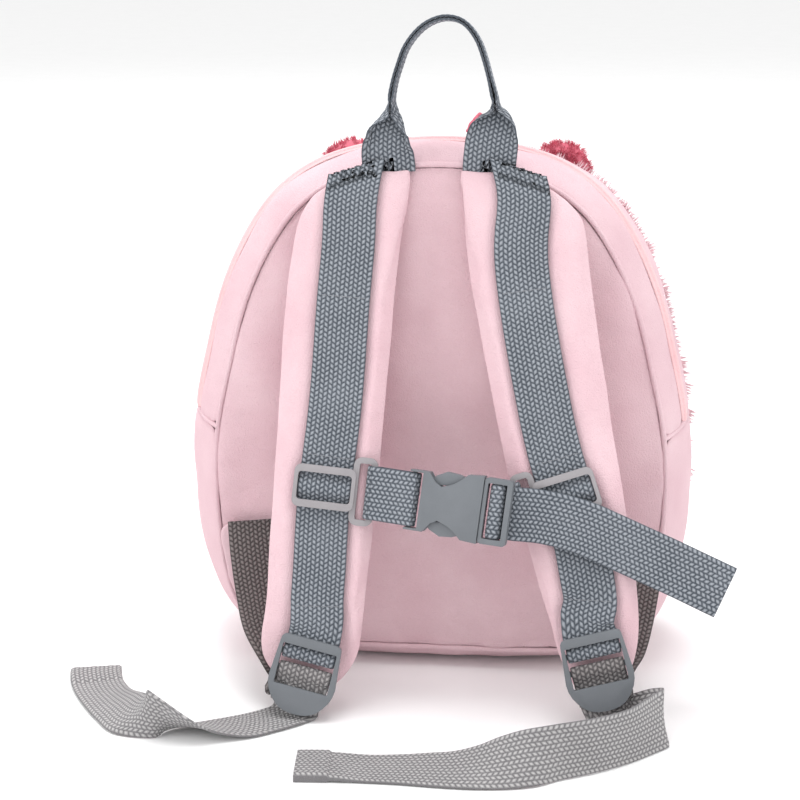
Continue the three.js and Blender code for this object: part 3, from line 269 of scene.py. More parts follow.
def webbing_finish(name, light, dark, painted_light_fade=None):
    """Webbing; a fade, if given, names two places along it and the colours that it fades to between them,
    from painted shade to painted light.
    """
    finish = Finish(name, Specular_IOR_Level=0.25, Sheen_Weight=0.1)
    across, along = finish.across_and_along()
    rib = across / RIB_PITCH
    column = rib.math("FLOOR")
    in_rib = rib - column - 0.5
    odd = column.math("FLOORED_MODULO", 2.0)
    lean = (odd * 2.0 - 1.0) * in_rib * SLANT
    step = along / FLOAT_PITCH + odd * 0.5 + lean
    in_float = step - step.math("FLOOR") - 0.5
    round_rib = 1.0 - in_rib * in_rib * 4.6
    round_float = 1.0 - in_float * in_float * 5.0
    height = (round_rib * round_float).limited()
    yarn = finish.speckle(0.0005, detail=2)
    worn = finish.speckle(0.02, detail=2)
    share = (height * 1.05 + (yarn - 0.5) * 0.7 + (worn - 0.5) * 0.3).limited()
    # Painted light: between the two places the weave's colours fade from painted shade to painted light.
    if painted_light_fade:
        start, end, lit_end_light, lit_end_dark = painted_light_fade
        lit_share = ((along - start) / (end - start)).limited()
        light = finish.blend(lit_share, light, lit_end_light)
        dark = finish.blend(lit_share, dark, lit_end_dark)
    finish.colour(finish.blend(share, dark, light))
    finish.rough(0.95 - height * 0.2)
    finish.bumps(height + yarn * 0.3, 0.00055)
    return finish.material


WEB_LIGHT = rgb(163, 168, 176)
WEB_DARK = rgb(76, 82, 90)
webbing = webbing_finish("webbing", WEB_LIGHT, WEB_DARK)
# Painted shade and painted light on the tails: their colours are darker near the bag, where they are in
# shade, and paler towards their ends, where the light catches them.
SHADED_TAIL_LIGHT = rgb(136, 128, 127)
SHADED_TAIL_DARK = rgb(72, 66, 66)
LIT_TAIL_LIGHT = rgb(190, 188, 188)
LIT_TAIL_DARK = rgb(120, 118, 120)
tail_webbing_painted_light = webbing_finish(
    "tail_webbing_painted_light", SHADED_TAIL_LIGHT, SHADED_TAIL_DARK, (0.085, 0.15, LIT_TAIL_LIGHT, LIT_TAIL_DARK),
)
print("webbing finishes made")

# %% [markdown]
# ## Moulded plastic and the zip
# The fittings are moulded in grey plastic with a satin face: almost plain, with a very fine
# spark-eroded grain. The zip tape is a tight rose weave and its coil is smooth nylon.


# %% Plastic and zip finishes
def plastic_finish(name, tone, darker):
    finish = Finish(name, Specular_IOR_Level=0.45)
    grain = finish.speckle(0.0005, detail=3)
    cloudy = finish.speckle(0.012, detail=2)
    finish.colour(finish.blend((cloudy * 0.7 + grain * 0.3).limited(), darker, tone))
    finish.rough(0.42 + grain * 0.16)
    finish.bumps(grain, 0.00004)
    return finish.material


dark_plastic = plastic_finish("dark_plastic", rgb(122, 126, 131), rgb(102, 106, 111))
light_plastic = plastic_finish("light_plastic", rgb(164, 160, 163), rgb(142, 138, 141))
zip_coil = plastic_finish("zip_coil", rgb(234, 166, 174), rgb(216, 138, 148))
zip_tape = plush_finish("zip_tape", rgb(244, 206, 208), rgb(232, 184, 188), pile=0.0009)
fur_backing = plush_finish("fur_backing", rgb(250, 236, 238), rgb(238, 212, 218))
floor_sheet = plush_finish("floor_sheet", rgb(250, 250, 250), rgb(246, 246, 246), relief=0.00002)
floor.data.materials.append(floor_sheet)
print("plastic and zip finishes made")

# %% [markdown]
# ## Working on one object at a time
# Operators act on whatever is selected, and the frame arrives selected. So every step first
# picks one object. A copy of a frame node starts as loose triangles, so its corners are merged,
# and pairs of triangles become quads again, which subdivide into smooth cloth.


# %% Picking, copying and finishing pieces
def pick(thing):
    """Makes thing the only selected object, and the active one."""
    bpy.ops.object.select_all(action="DESELECT")
    thing.select_set(True)
    bpy.context.view_layer.objects.active = thing


def merged_copy(node, name, quads=True):
    """A new object with a node's mesh, its corners merged."""
    mesh = bpy.data.objects[node].data.copy()
    thing = bpy.data.objects.new(name, mesh)
    bpy.context.scene.collection.objects.link(thing)
    mesh.materials.clear()
    pick(thing)
    bpy.ops.object.mode_set(mode="EDIT")
    bpy.ops.mesh.select_all(action="SELECT")
    bpy.ops.mesh.remove_doubles(threshold=0.000001)
    if quads:
        bpy.ops.mesh.tris_convert_to_quads(face_threshold=math.pi, shape_threshold=math.pi)
    bpy.ops.object.mode_set(mode="OBJECT")
    return thing


def close_up(thing, merge=0.000001, holes=True):
    """Merges a mesh's doubles, fills its open ends and turns its faces outwards."""
    pick(thing)
    bpy.ops.object.mode_set(mode="EDIT")
    bpy.ops.mesh.select_all(action="SELECT")
    bpy.ops.mesh.remove_doubles(threshold=merge)
    if holes:
        bpy.ops.mesh.fill_holes(sides=0)
    bpy.ops.mesh.select_all(action="SELECT")
    bpy.ops.mesh.normals_make_consistent(inside=False)
    bpy.ops.object.mode_set(mode="OBJECT")


def apply_modifier(thing, kind, **settings):
    """Adds one modifier and applies it at once."""
    pick(thing)
    step = thing.modifiers.new(kind.lower(), kind)
    for key, value in settings.items():
        setattr(step, key, value)
    bpy.ops.object.modifier_apply(modifier=step.name)


def subdivide(thing, levels):
    apply_modifier(thing, "SUBSURF", levels=levels, render_levels=levels)


def smooth_shade(thing, angle=None):
    pick(thing)
    if angle is None:
        bpy.ops.object.shade_smooth()
    else:
        bpy.ops.object.shade_smooth_by_angle(angle=math.radians(angle))


def press(thing, amount):
    """Moves each corner along its normal by amount(place, normal) metres."""
    moves = []
    for corner in thing.data.vertices:
        moves.append(amount(corner.co, corner.normal) * corner.normal)
    for corner, move in zip(thing.data.vertices, moves):
        corner.co += move


def hand_over(thing, node, material):
    """Gives a finished piece its material and its body, and hides its frame node; node may be None."""
    thing.data.materials.clear()
    thing.data.materials.append(material)
    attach(thing, "root")
    if node:
        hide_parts(node)
    triangles = sum(len(face.vertices) - 2 for face in thing.data.polygons)
    print(thing.name, triangles, "triangles")


def swell(place, size, seed=0.0):
    """Smooth noise between -1 and 1 whose hills are about size metres wide."""
    return noise.noise(Vector(place) / size + Vector((seed, seed * 0.7, 3.1)))


# %% [markdown]
# ## The soft shell of the bag
# The shell is three strips round the sides and one panel against the back. On the real bag they
# are plush sewn inside out, so every seam is a valley between two rolled edges. Subdividing the
# merged copies rolls their rims by itself. Then soft dents are pressed in: large ones where the
# cloth sags, and small puckers across the seams, where the thread gathers it.

# %% Rims of the shell
BAG_CENTRE = Vector((0, 0, 0.128))


def rim_line(nodes, seam_y, slack=0.0001):
    """The outermost corners of some nodes on a seam, in order round the bag's middle."""
    best = {}
    for node in nodes:
        for corner in bpy.data.objects[node].data.vertices:
            away = corner.co - BAG_CENTRE
            turn = round(math.atan2(away.x, away.z), 2)
            reach = math.hypot(away.x, away.z)
            if abs(corner.co.y - seam_y) < slack and reach > best.get(turn, (0.0,))[0]:
                best[turn] = (reach, corner.co.copy())
    line = []
    for turn in sorted(best):
        if not line or (best[turn][1] - line[-1]).length > 0.004:
            line.append(best[turn][1])
    return line


# %% Dents and puckers
BACK_SEAM_Y = -0.042
FRONT_SEAM_Y = 0.042
SAG_WIDE = (0.045, 0.0016)
SAG_SMALL = (0.019, 0.0006)
PUCKER = (0.0055, 0.0007)
PUCKER_REACH = 0.006


def outward(place, normal):
    """One on the outer face of the shell and zero on its lining."""
    away = Vector((place.x, place.y * 0.6, place.z - BAG_CENTRE.z))
    return 1.0 if away.dot(normal) > 0 else 0.0


def gusset_dents(place, normal):
    """Sagging and seam puckers of the side strips."""
    if not outward(place, normal):
        return 0.0
    sag = swell(place, SAG_WIDE[0], 2.0) * SAG_WIDE[1] + swell(place, SAG_SMALL[0], 5.0) * SAG_SMALL[1]
    near_seam = math.exp(-abs(place.y - BACK_SEAM_Y) / PUCKER_REACH)
    near_front = math.exp(-abs(place.y - FRONT_SEAM_Y) / PUCKER_REACH)
    pucker = swell((place.x, 0, place.z), PUCKER[0], 9.0) * PUCKER[1]
    return sag + pucker * (near_seam + near_front)


# %% Gusset strips
for node in ("gusset_lower", "gusset_upper_back", "gusset_upper_front"):
    strip = merged_copy(node, "cloth_" + node)
    subdivide(strip, 3)
    press(strip, gusset_dents)
    smooth_shade(strip)
    hand_over(strip, node, plush)

# %% [markdown]
# ## The back panel
# The panel lies against the wearer's back. Its cloth is looser than the strips, so it carries
# long upright folds that start under the top seam.

# %% Back panel
PANEL_FOLD_XS = (-0.068, -0.006, 0.058)
PANEL_FOLD_WIDTH = 0.012
PANEL_FOLD_DEPTH = 0.0011
PANEL_FOLD_DRIFT = 0.010
PANEL_MIDDLE_Z = 0.12
PANEL_SAG = (0.030, 0.0016)
PANEL_RIPPLE = (0.010, 0.0003)


def panel_dents(place, normal):
    if normal.y > 0:
        return 0.0
    folds = 0.0
    for fold_x in PANEL_FOLD_XS:
        drift = fold_x + PANEL_FOLD_DRIFT * (place.z - PANEL_MIDDLE_Z) / PANEL_MIDDLE_Z
        folds += math.exp(-((place.x - drift) / PANEL_FOLD_WIDTH) ** 2)
    sag = swell((place.x * 1.7, 0, place.z * 0.7), PANEL_SAG[0], 4.0) * PANEL_SAG[1]
    ripple = swell(place, PANEL_RIPPLE[0], 8.0) * PANEL_RIPPLE[1]
    return sag - folds * PANEL_FOLD_DEPTH + ripple


panel = merged_copy("back_panel", "cloth_back_panel")
subdivide(panel, 3)
press(panel, panel_dents)
smooth_shade(panel)
hand_over(panel, "back_panel", plush)

# %% [markdown]
# ## The plane of the straps
# Both shoulder straps hang in one plane that leans off the back panel by 14 degrees.

# %% Strap plane
STRAP_LEAN = math.radians(14)
STRAP_FOOT = Vector((0, -0.1082, 0))
STRAP_OUT = Vector((0, -math.cos(STRAP_LEAN), math.sin(STRAP_LEAN)))
STRAP_UP = Vector((0, math.sin(STRAP_LEAN), math.cos(STRAP_LEAN)))


def above_strap_plane(place):
    return (place - STRAP_FOOT).dot(STRAP_OUT)


# %% [markdown]
# ## Webbing from its sections
# Every webbing node in the frame is a plain flat strap: a chain of four-cornered sections. A
# walk along the merged mesh gives those sections back, from one end to the other, and a smooth
# curve through each edge gives the tape any number of rows. The tape is then a grid rolled round
# that course. Its rows are half a float long, so the ribs and the toothed edges of the weave are
# real relief, and its UV map holds metres across and along for the weave in the material.

# %% Sections of a strap node
MERGE = 0.0000005


def strap_rings(node):
    """The four-cornered sections of a strap node, from end to end, as lists of sorted places."""
    mesh = bmesh.new()
    mesh.from_mesh(bpy.data.objects[node].data)
    bmesh.ops.remove_doubles(mesh, verts=mesh.verts, dist=MERGE)
    first = None
    for edge in mesh.edges:
        corners = {corner for face in edge.link_faces for corner in face.verts}
        around = {link.other_vert(corner) for corner in corners for link in corner.link_edges}
        if len(corners) == 4 and len(around - corners) == 4:
            first = corners
            break
    rings = []
    seen = set(first)
    ring = first
    while ring:
        rings.append(sorted((corner.co.copy() for corner in ring), key=tuple))
        around = {link.other_vert(corner) for corner in ring for link in corner.link_edges}
        ring = around - seen
        seen |= ring
    mesh.free()
    return rings


def edge_pairs(ring):
    """The middles of the two edges of a section, and the section's thickness."""
    first = ring[0]
    partner = min(ring[1:], key=lambda place: (place - first).length)
    others = [place for place in ring if place is not first and place is not partner]
    thick = (partner - first).length
    return (first + partner) / 2, (others[0] + others[1]) / 2, thick


def strap_edges(node):
    """Both edges of a strap as rows of places, and its thickness at each."""
    left = []
    right = []
    thicks = []
    for ring in strap_rings(node):
        one, two, thick = edge_pairs(ring)
        if left and (one - left[-1]).length > (two - left[-1]).length:
            one, two = two, one
        left.append(one)
        right.append(two)
        thicks.append(thick)
    return left, right, thicks


# %% Smooth course of a tape
def smooth_at(values, place):
    """A value of the smooth curve through values; place counts them from 0."""
    step = min(int(place), len(values) - 2)
    t = place - step
    before = values[max(step - 1, 0)]
    start = values[step]
    end = values[step + 1]
    after = values[min(step + 2, len(values) - 1)]
    bend = (end - before) * 0.5 * (t ** 3 - 2 * t ** 2 + t) + (after - start) * 0.5 * (t ** 3 - t ** 2)
    return start * (2 * t ** 3 - 3 * t ** 2 + 1) + end * (3 * t ** 2 - 2 * t ** 3) + bend


class Course:
    """A tape's two edges and thickness, read by the distance along its middle."""

    FINE = 12

    def __init__(self, left, right, thicks):
        self.left = left
        self.right = right
        self.thicks = thicks
        self.steps = (len(left) - 1) * self.FINE
        self.ends = [0.0]
        last = self.middle(0)
        for count in range(1, self.steps + 1):
            here = self.middle(count / self.FINE)
            self.ends.append(self.ends[-1] + (here - last).length)
            last = here
        self.length = self.ends[-1]

    def middle(self, place):
        return (smooth_at(self.left, place) + smooth_at(self.right, place)) / 2

    def place_at(self, distance):
        """The section count at a distance along the tape."""
        low = 0
        high = self.steps
        while high - low > 1:
            half = (low + high) // 2
            if self.ends[half] <= distance:
                low = half
            else:
                high = half
        span = max(self.ends[low + 1] - self.ends[low], 1e-9)
        return (low + min(max((distance - self.ends[low]) / span, 0.0), 1.0)) / self.FINE

    def section(self, distance):
        """A function that puts a point of the section in place, its width and thickness."""
        place = self.place_at(distance)
        left = smooth_at(self.left, place)
        right = smooth_at(self.right, place)
        ahead = self.middle(min(place + 0.02, len(self.left) - 1))
        behind = self.middle(max(place - 0.02, 0))
        middle = (left + right) / 2
        across = (right - left).normalized()
        up = across.cross(ahead - behind).normalized()

        def spot(reach, lift):
            return middle + across * reach + up * lift

        return spot, (right - left).length, smooth_at(self.thicks, place)


# %% Weave relief and the tape itself
WEAVE_RELIEF = 0.16 * MM
TOOTH_RELIEF = 0.2 * MM
RIBS = 12
HEM_LENGTH = 15 * MM
HEM_THICK = 1.8


def weave_height(across, along):
    """Height of the weave between 0 and 1, as in the material."""
    rib = across / RIB_PITCH
    column = math.floor(rib)
    in_rib = rib - column - 0.5
    odd = column % 2
    step = along / FLOAT_PITCH + odd * 0.5 + (odd * 2 - 1) * in_rib * SLANT
    in_float = step - math.floor(step) - 0.5
    return max(1 - in_rib ** 2 * 4.6, 0) * max(1 - in_float ** 2 * 5.0, 0)


def section_points():
    """Round a tape's section: share across from 0 to 1 and side, 1 above and -1 below."""
    top = [(count / (2 * RIBS), 1) for count in range(2 * RIBS + 1)]
    under = [(share, -1) for share, side in reversed(top)]
    return top + under


def make_tape(name, course, closed=False, hem=False):
    """A woven tape along a course, as a rolled grid; a hem is its end folded double."""
    ring = section_points()
    rows = max(8, round(course.length / (FLOAT_PITCH / 2)))
    bpy.ops.object.select_all(action="DESELECT")
    bpy.ops.mesh.primitive_grid_add(x_subdivisions=len(ring), y_subdivisions=rows, size=2)
    tape = bpy.context.object
    tape.name = name
    cloth = {}
    sections = [course.section(course.length * row / rows) for row in range(rows + 1)]
    for corner in tape.data.vertices:
        turn = round((corner.co.x + 1) / 2 * len(ring)) % len(ring)
        row = round((corner.co.y + 1) / 2 * rows)
        share, side = ring[turn]
        spot, width, thick = sections[row]
        along = course.length * row / rows
        if hem and course.length - along < HEM_LENGTH:
            thick *= HEM_THICK
        edge = 1 - min(share, 1 - share) * 2 * RIBS
        rounding = 0.62 if edge > 0.5 else 1.0
        lift = side * thick / 2 * rounding
        lift += side * WEAVE_RELIEF * (weave_height(share * width, along) - 0.5) * rounding
        reach = (share - 0.5) * width
        if edge > 0.5:
            tooth = TOOTH_RELIEF if row % 2 else -TOOTH_RELIEF
            reach += math.copysign(tooth, reach)
        corner.co = spot(reach, lift)
        cloth[corner.index] = (share * width, along)
    layer = tape.data.uv_layers[0]
    layer.name = "cloth"
    for loop in tape.data.loops:
        layer.data[loop.index].uv = cloth[loop.vertex_index]
    close_up(tape, holes=not closed)
    smooth_shade(tape, 50)
    return tape


# %% Ends of the tapes
PANEL_RIM_Y = -0.04235
TOP_HALF_Z = 0.2
CUT_MARGIN = 0.012
SQUARE_ABOVE = 232 * MM
RUN_ON = 9 * MM


def from_the_bag(edges):
    """The edges of a strap, turned round if need be to start at the bag's end."""
    left, right, thicks = edges
    if left[0].y < left[-1].y:
        return left[::-1], right[::-1], thicks[::-1]
    return left, right, thicks


def squared(edges):
    """The edges with square rows near the top, which run on past the seam."""
    left, right, thicks = edges
    high = [index for index in range(len(left) // 2) if (left[index] + right[index]).z / 2 > SQUARE_ABOVE]
    base = len(high)
    across = (right[base] - left[base]) / 2
    for index in high:
        middle = (left[index] + right[index]) / 2
        left[index] = middle - across
        right[index] = middle + across
    step = (left[0] - left[1]).normalized() * RUN_ON
    return [left[0] + step] + left, [right[0] + step] + right, thicks[:1] + thicks


def top_seam_at(x):
    """The place on the top seam straight above x."""
    top = [place for place in back_rim if place.z > TOP_HALF_Z]
    best, other = sorted(top, key=lambda place: abs(place.x - x))[:2]
    return best.lerp(other, (x - best.x) / (other.x - best.x))


def cut_on_seam(thing, west, east, lift, keep_above):
    """Cuts the part of a piece between two x places along the top seam."""
    one = top_seam_at(west)
    two = top_seam_at(east)
    pick(thing)
    bpy.ops.object.mode_set(mode="EDIT")
    bpy.ops.mesh.select_all(action="DESELECT")
    bpy.ops.object.mode_set(mode="OBJECT")
    for face in thing.data.polygons:
        near = west - CUT_MARGIN < face.center.x < east + CUT_MARGIN
        face.select = near and face.center.z > SQUARE_ABOVE
    bpy.ops.object.mode_set(mode="EDIT")
    bpy.ops.mesh.bisect(
        plane_co=one + Vector((0, 0, lift)), plane_no=(one.z - two.z, 0, two.x - one.x),
        use_fill=True, clear_inner=keep_above, clear_outer=not keep_above,
    )
    bpy.ops.object.mode_set(mode="OBJECT")
    print(thing.name, "cut on the seam between x", west, "and", east)


# %% Open tapes
SHOULDER_TOPS = {
    "shoulder_webbing_left": (-0.0515, -0.0270),
    "shoulder_webbing_right": (0.0262, 0.0505),
}
courses = {}
back_rim = rim_line(("back_panel",), PANEL_RIM_Y)
for node, material in (
    ("shoulder_webbing_left", webbing),
    ("shoulder_webbing_right", webbing),
    ("lower_webbing_left", tail_webbing_painted_light),
    ("lower_webbing_right", tail_webbing_painted_light),
    ("chest_webbing_right", webbing),
):
    edges = from_the_bag(strap_edges(node))
    if node.startswith("shoulder"):
        edges = squared(edges)
    courses[node] = Course(*edges)
    tape = make_tape("woven_" + node, courses[node], hem=not node.startswith("shoulder"))
    if node in SHOULDER_TOPS:
        cut_on_seam(tape, *SHOULDER_TOPS[node], 0.0006, keep_above=False)
    hand_over(tape, node, material)
    print(node, "is", round(courses[node].length * 1000), "mm long")

# %% [markdown]
# The left half of the chest strap is a short closed band between the slider's loop and the
# buckle. Its sections are found by their turn round the band's own middle instead.


# %% Closed chest band
BAND_THICK = 1.3 * MM
BAND_SLACK = 0.002 * MM


def band_edges(node):
    """Both edges of a closed band, in order round its middle."""
    mesh = bmesh.new()
    mesh.from_mesh(bpy.data.objects[node].data)
    bmesh.ops.remove_doubles(mesh, verts=mesh.verts, dist=MERGE)
    pairs = {True: [], False: []}
    rises = [corner.co.dot(STRAP_UP) for corner in mesh.verts]
    middle_rise = (min(rises) + max(rises)) / 2
    for edge in mesh.edges:
        one, two = (corner.co for corner in edge.verts)
        if abs((one - two).length - BAND_THICK) < BAND_SLACK:
            pairs[one.dot(STRAP_UP) > middle_rise].append((one + two) / 2)
    mesh.free()
    rows = []
    for high in (False, True):
        middle = sum(pairs[high], Vector()) / len(pairs[high])

        def turn(place):
            return math.atan2((place - middle).dot(STRAP_OUT), place.x - middle.x)

        rows.append(sorted(pairs[high], key=turn))
    low, high = rows
    print("band sections", len(low), len(high))
    return low + low[:1], high + high[:1], [BAND_THICK] * (len(low) + 1)


courses["chest_webbing_left"] = Course(*band_edges("chest_webbing_left"))
band = make_tape("woven_chest_webbing_left", courses["chest_webbing_left"], closed=True)
hand_over(band, "chest_webbing_left", webbing)
print("chest band is", round(courses["chest_webbing_left"].length * 1000), "mm round")

# %% [markdown]
# ## Padded shoulder straps
# Each strap is foam inside plush. The frame's pad is a plain loft, so its merged copy is already
# a regular grid: subdivided twice it becomes even cloth. It starts a little smaller, and a short
# cloth simulation blows it up by pressure, with its swelling capped. Where the webbing is sewn
# down the middle the cloth can't rise, so there it is put back and pulled in a little.

# %% Pad simulation
PAD_SWELL_CAP = 0.0019
PAD_SHRINK = -0.0005
SEWN_HALF = 0.0118
SEWN_FADE = 0.0060
SEWN_DEPTH = 0.0005
UNDERSIDE_DROP = 0.006
PAD_WAVE = 0.024
PAD_WAVE_DEPTH = 0.0005


def inflate(thing, pressure, frames=20):
    """Blows a closed mesh up with Blender's cloth and keeps the result."""
    pick(thing)
    step = thing.modifiers.new("air", "CLOTH")
    step.settings.use_pressure = True
    step.settings.uniform_pressure_force = pressure
    step.settings.effector_weights.gravity = 0
    step.point_cache.frame_start = 1
    step.point_cache.frame_end = frames
    for moment in range(1, frames + 1):
        bpy.context.scene.frame_set(moment)
    bpy.ops.object.modifier_apply(modifier=step.name)
    bpy.context.scene.frame_set(1)


def cap_moves(thing, places, cap):
    """Pulls each corner back to within cap metres of where it was."""
    widest = 0.0
    for corner, place in zip(thing.data.vertices, places):
        move = corner.co - place
        if move.length > cap:
            corner.co = place + move * (cap / move.length)
        widest = max(widest, (corner.co - place).length)
    return widest


def sewn_share(place, middles):
    """One on the pad's outer face under the webbing, fading to zero beside it."""
    nearest = min(middles, key=lambda middle: abs(middle.z - place.z))
    if above_strap_plane(place) < above_strap_plane(nearest) - UNDERSIDE_DROP:
        return 0.0
    aside = abs(place.x - nearest.x) - SEWN_HALF
    share = 1.0 - min(max(aside / SEWN_FADE, 0.0), 1.0)
    return share * share * (3 - 2 * share)


# %% Pads
def make_pad(node, course):
    pad = merged_copy(node, "plush_" + node)
    subdivide(pad, 2)
    press(pad, lambda place, normal: PAD_SHRINK)
    places = [corner.co.copy() for corner in pad.data.vertices]
    inflate(pad, 4)
    print(node, "swelled by up to", round(cap_moves(pad, places, PAD_SWELL_CAP), 5))
    middles = [course.middle(course.place_at(course.length * step / 80)) for step in range(70)]
    for corner, place in zip(pad.data.vertices, places):
        share = sewn_share(place, middles)
        corner.co = corner.co.lerp(place - STRAP_OUT * SEWN_DEPTH, share)
    press(pad, lambda place, normal: swell(place, PAD_WAVE, 7.0) * PAD_WAVE_DEPTH)
    subdivide(pad, 1)
    smooth_shade(pad)
    return pad


for node in ("shoulder_pad_left", "shoulder_pad_right"):
    pad = make_pad(node, courses[node.replace("pad", "webbing")])
    hand_over(pad, node, pad_plush)

# %% [markdown]
# ## Seams of the shell
# A sewn seam is never an open slit: under it lie the turned-in edges of both cloths. A plush cord
# along the back seam and along each side seam stands for them. It lies a little below the rolled
# edges beside it, so that the seam shows as a soft crease.

# %% Seam cords
CORD_SIDES = 8
CORD_RADIUS = 1.35 * MM
CORD_DEPTH = 1.75 * MM
CORD_ROW = 2 * MM
SECTION_STEP = 0.014
SIDE_SEAM_Z = 0.1195
SIDE_X = 0.09


def make_cord(name, line, radius, up):
    """A round cord along a line of places, as a rolled grid."""
    course = Course(line, line, [0.0] * len(line))
    rows = round(course.length / CORD_ROW)
    bpy.ops.object.select_all(action="DESELECT")
    bpy.ops.mesh.primitive_grid_add(x_subdivisions=CORD_SIDES, y_subdivisions=rows, size=2)
    cord = bpy.context.object
    cord.name = name
    for corner in cord.data.vertices:
        turn = (corner.co.x + 1) * math.pi
        place = course.place_at((corner.co.y + 1) / 2 * course.length)
        ahead = course.middle(min(place + 0.05, len(line) - 1))
        behind = course.middle(max(place - 0.05, 0))
        side = (ahead - behind).cross(up).normalized()
        top = side.cross(ahead - behind).normalized()
        wave = 1 + 0.12 * swell(course.middle(place), 0.007, 2.0)
        corner.co = course.middle(place) + (side * math.cos(turn) + top * math.sin(turn)) * radius * wave
    close_up(cord, merge=0.00001)
    smooth_shade(cord)
    hand_over(cord, None, plush)


back_line = []
for place in back_rim + back_rim[:1]:
    inward = Vector((BAG_CENTRE.x - place.x, 0, BAG_CENTRE.z - place.z)).normalized()
    back_line.append(place + (inward + Vector((0, 1, 0))).normalized() * CORD_DEPTH)
make_cord("seam_back", back_line, CORD_RADIUS, Vector((0, 1, 0)))

for side, name in ((-1, "seam_side_left"), (1, "seam_side_right")):
    ends = {}
    for corner in bpy.data.objects["gusset_lower"].data.vertices:
        count = round(corner.co.y / SECTION_STEP)
        on_section = abs(corner.co.y / SECTION_STEP - count) < 0.02
        if on_section and corner.co.x * side > SIDE_X and corner.co.z > SIDE_SEAM_Z:
            if count not in ends or abs(corner.co.x) > abs(ends[count].x):
                ends[count] = corner.co.copy()
    line = [ends[count] + Vector((-side * CORD_DEPTH, 0, 0.0002)) for count in sorted(ends)]
    make_cord(name, line, CORD_RADIUS, Vector((0, 0, 1)))

# %% [markdown]
# ## Moulded fittings
# The buckle, the sliders and the ladder locks come out of a mould, so their edges are rounded
# and their faces are true. Their solids in the frame have the right shape with sharp edges: flat
# triangles are dissolved into whole faces, and a bevel rounds the edges between them.


# %% Fittings
def make_fitting(node, material, edge=0.00045):
    fitting = merged_copy(node, "moulded_" + node, quads=False)
    pick(fitting)
    bpy.ops.object.mode_set(mode="EDIT")
    bpy.ops.mesh.select_all(action="SELECT")
    bpy.ops.mesh.dissolve_limited(angle_limit=math.radians(2))
    bpy.ops.object.mode_set(mode="OBJECT")
    apply_modifier(
        fitting, "BEVEL", width=edge, segments=3, limit_method="ANGLE",
        angle_limit=math.radians(35), use_clamp_overlap=True, harden_normals=False,
    )
    smooth_shade(fitting, 40)
    hand_over(fitting, node, material)
    return fitting


for node in ("ladder_lock_left", "ladder_lock_right"):
    make_fitting(node, dark_plastic)
for node in ("chest_slider_left", "chest_slider_right"):
    make_fitting(node, light_plastic)
for node in ("buckle_female", "buckle_male"):
    make_fitting(node, dark_plastic, edge=0.0007)

# %% [markdown]
# ## The grab handle
# The handle is one length of the same webbing. Its two feet are sewn flat into the top seam. On
# the way up both edges of the tape fold forwards over its middle, which leaves a dark pocket in
# front, and above the throat the tape is folded double for the whole loop. Each row says where
# the tape's middle runs, how wide its flat middle stays and by how many degrees its edges fold.

# %% Handle course
HANDLE_WIDTH = 24.5 * MM
HANDLE_THICK = 1.25 * MM
FOLD_RADIUS = 0.72 * MM
HANDLE_FRONT = Vector((0, -0.99, 0.14))
LOOP_REAR = -0.0382
LEFT_FOOT = (
    (-23.5, -43.7, 241, 12.2, 0), (-23.8, -43.7, 250, 12.0, 4), (-24.5, -43.7, 258.5, 9.0, 35),
    (-24.3, -43.5, 263.2, 7.6, 60), (-24.2, -43.0, 266.5, 7.6, 80), (-23.2, -41.8, 271.6, 5.3, 122),
    (-22.9, -40.4, 274.9, 3.3, 125), (-22.7, -39.3, 277.4, 1.8, 112), (-22.5, -38.4, 281.6, 0.5, 93),
)
LOOP = (
    (-21.0, 290.5), (-18.4, 299.1), (-15.6, 306.3), (-10.8, 313.0), (-5.1, 317.6), (1.7, 320.0),
    (8.4, 319.3), (13.4, 316.0), (17.7, 310.0), (20.6, 302.6), (23.4, 292.7),
)
RIGHT_FOOT = (
    (25.5, -38.4, 283.5, 0.4, 90), (25.8, -38.8, 280.9, 0.7, 97), (26.0, -39.6, 278.4, 1.7, 116),
    (26.3, -41.2, 275.6, 5.5, 128), (25.8, -42.4, 270.9, 8.6, 86), (24.9, -43.4, 266.3, 9.0, 42),
    (24.0, -43.7, 259.2, 11.4, 10), (23.4, -43.7, 252, 12.1, 0), (23.2, -43.7, 241, 12.2, 0),
)


def handle_rows():
    """Rows from one foot over the loop to the other: place, flat half and fold."""
    rows = []
    for x, y, z, flat, fold in LEFT_FOOT:
        rows.append((Vector((x, y, z)) * MM, flat * MM, math.radians(fold)))
    for x, z in LOOP:
        rows.append((Vector((x * MM, LOOP_REAR, (z - 0.8) * MM)), 0.05 * MM, math.radians(90)))
    for x, y, z, flat, fold in RIGHT_FOOT:
        rows.append((Vector((x, y, z)) * MM, flat * MM, math.radians(fold)))
    return rows


class HandleCourse(Course):
    """A course whose tape folds its edges forwards."""

    def __init__(self, rows):
        self.flats = [flat for place, flat, fold in rows]
        self.folds = [fold for place, flat, fold in rows]
        centres = [place for place, flat, fold in rows]
        super().__init__(centres, centres, [HANDLE_THICK] * len(rows))

    def section(self, distance):
        place = self.place_at(distance)
        middle = self.middle(place)
        ahead = self.middle(min(place + 0.05, len(self.left) - 1))
        behind = self.middle(max(place - 0.05, 0))
        across = HANDLE_FRONT.cross(ahead - behind).normalized()
        flat = max(smooth_at(self.flats, place), 0.0)
        fold = max(smooth_at(self.folds, place), 0.0)

        def spot(reach, lift):
            run = abs(reach)
            angle = min(max((run - flat) / FOLD_RADIUS, 0.0), fold)
            rest = max(run - flat - FOLD_RADIUS * fold, 0.0)
            sideways = min(run, flat) + (FOLD_RADIUS + lift) * math.sin(angle) + rest * math.cos(fold)
            forwards = FOLD_RADIUS - (FOLD_RADIUS + lift) * math.cos(angle) + rest * math.sin(fold)
            return middle + across * math.copysign(sideways, reach) + HANDLE_FRONT * forwards

        return spot, HANDLE_WIDTH, HANDLE_THICK


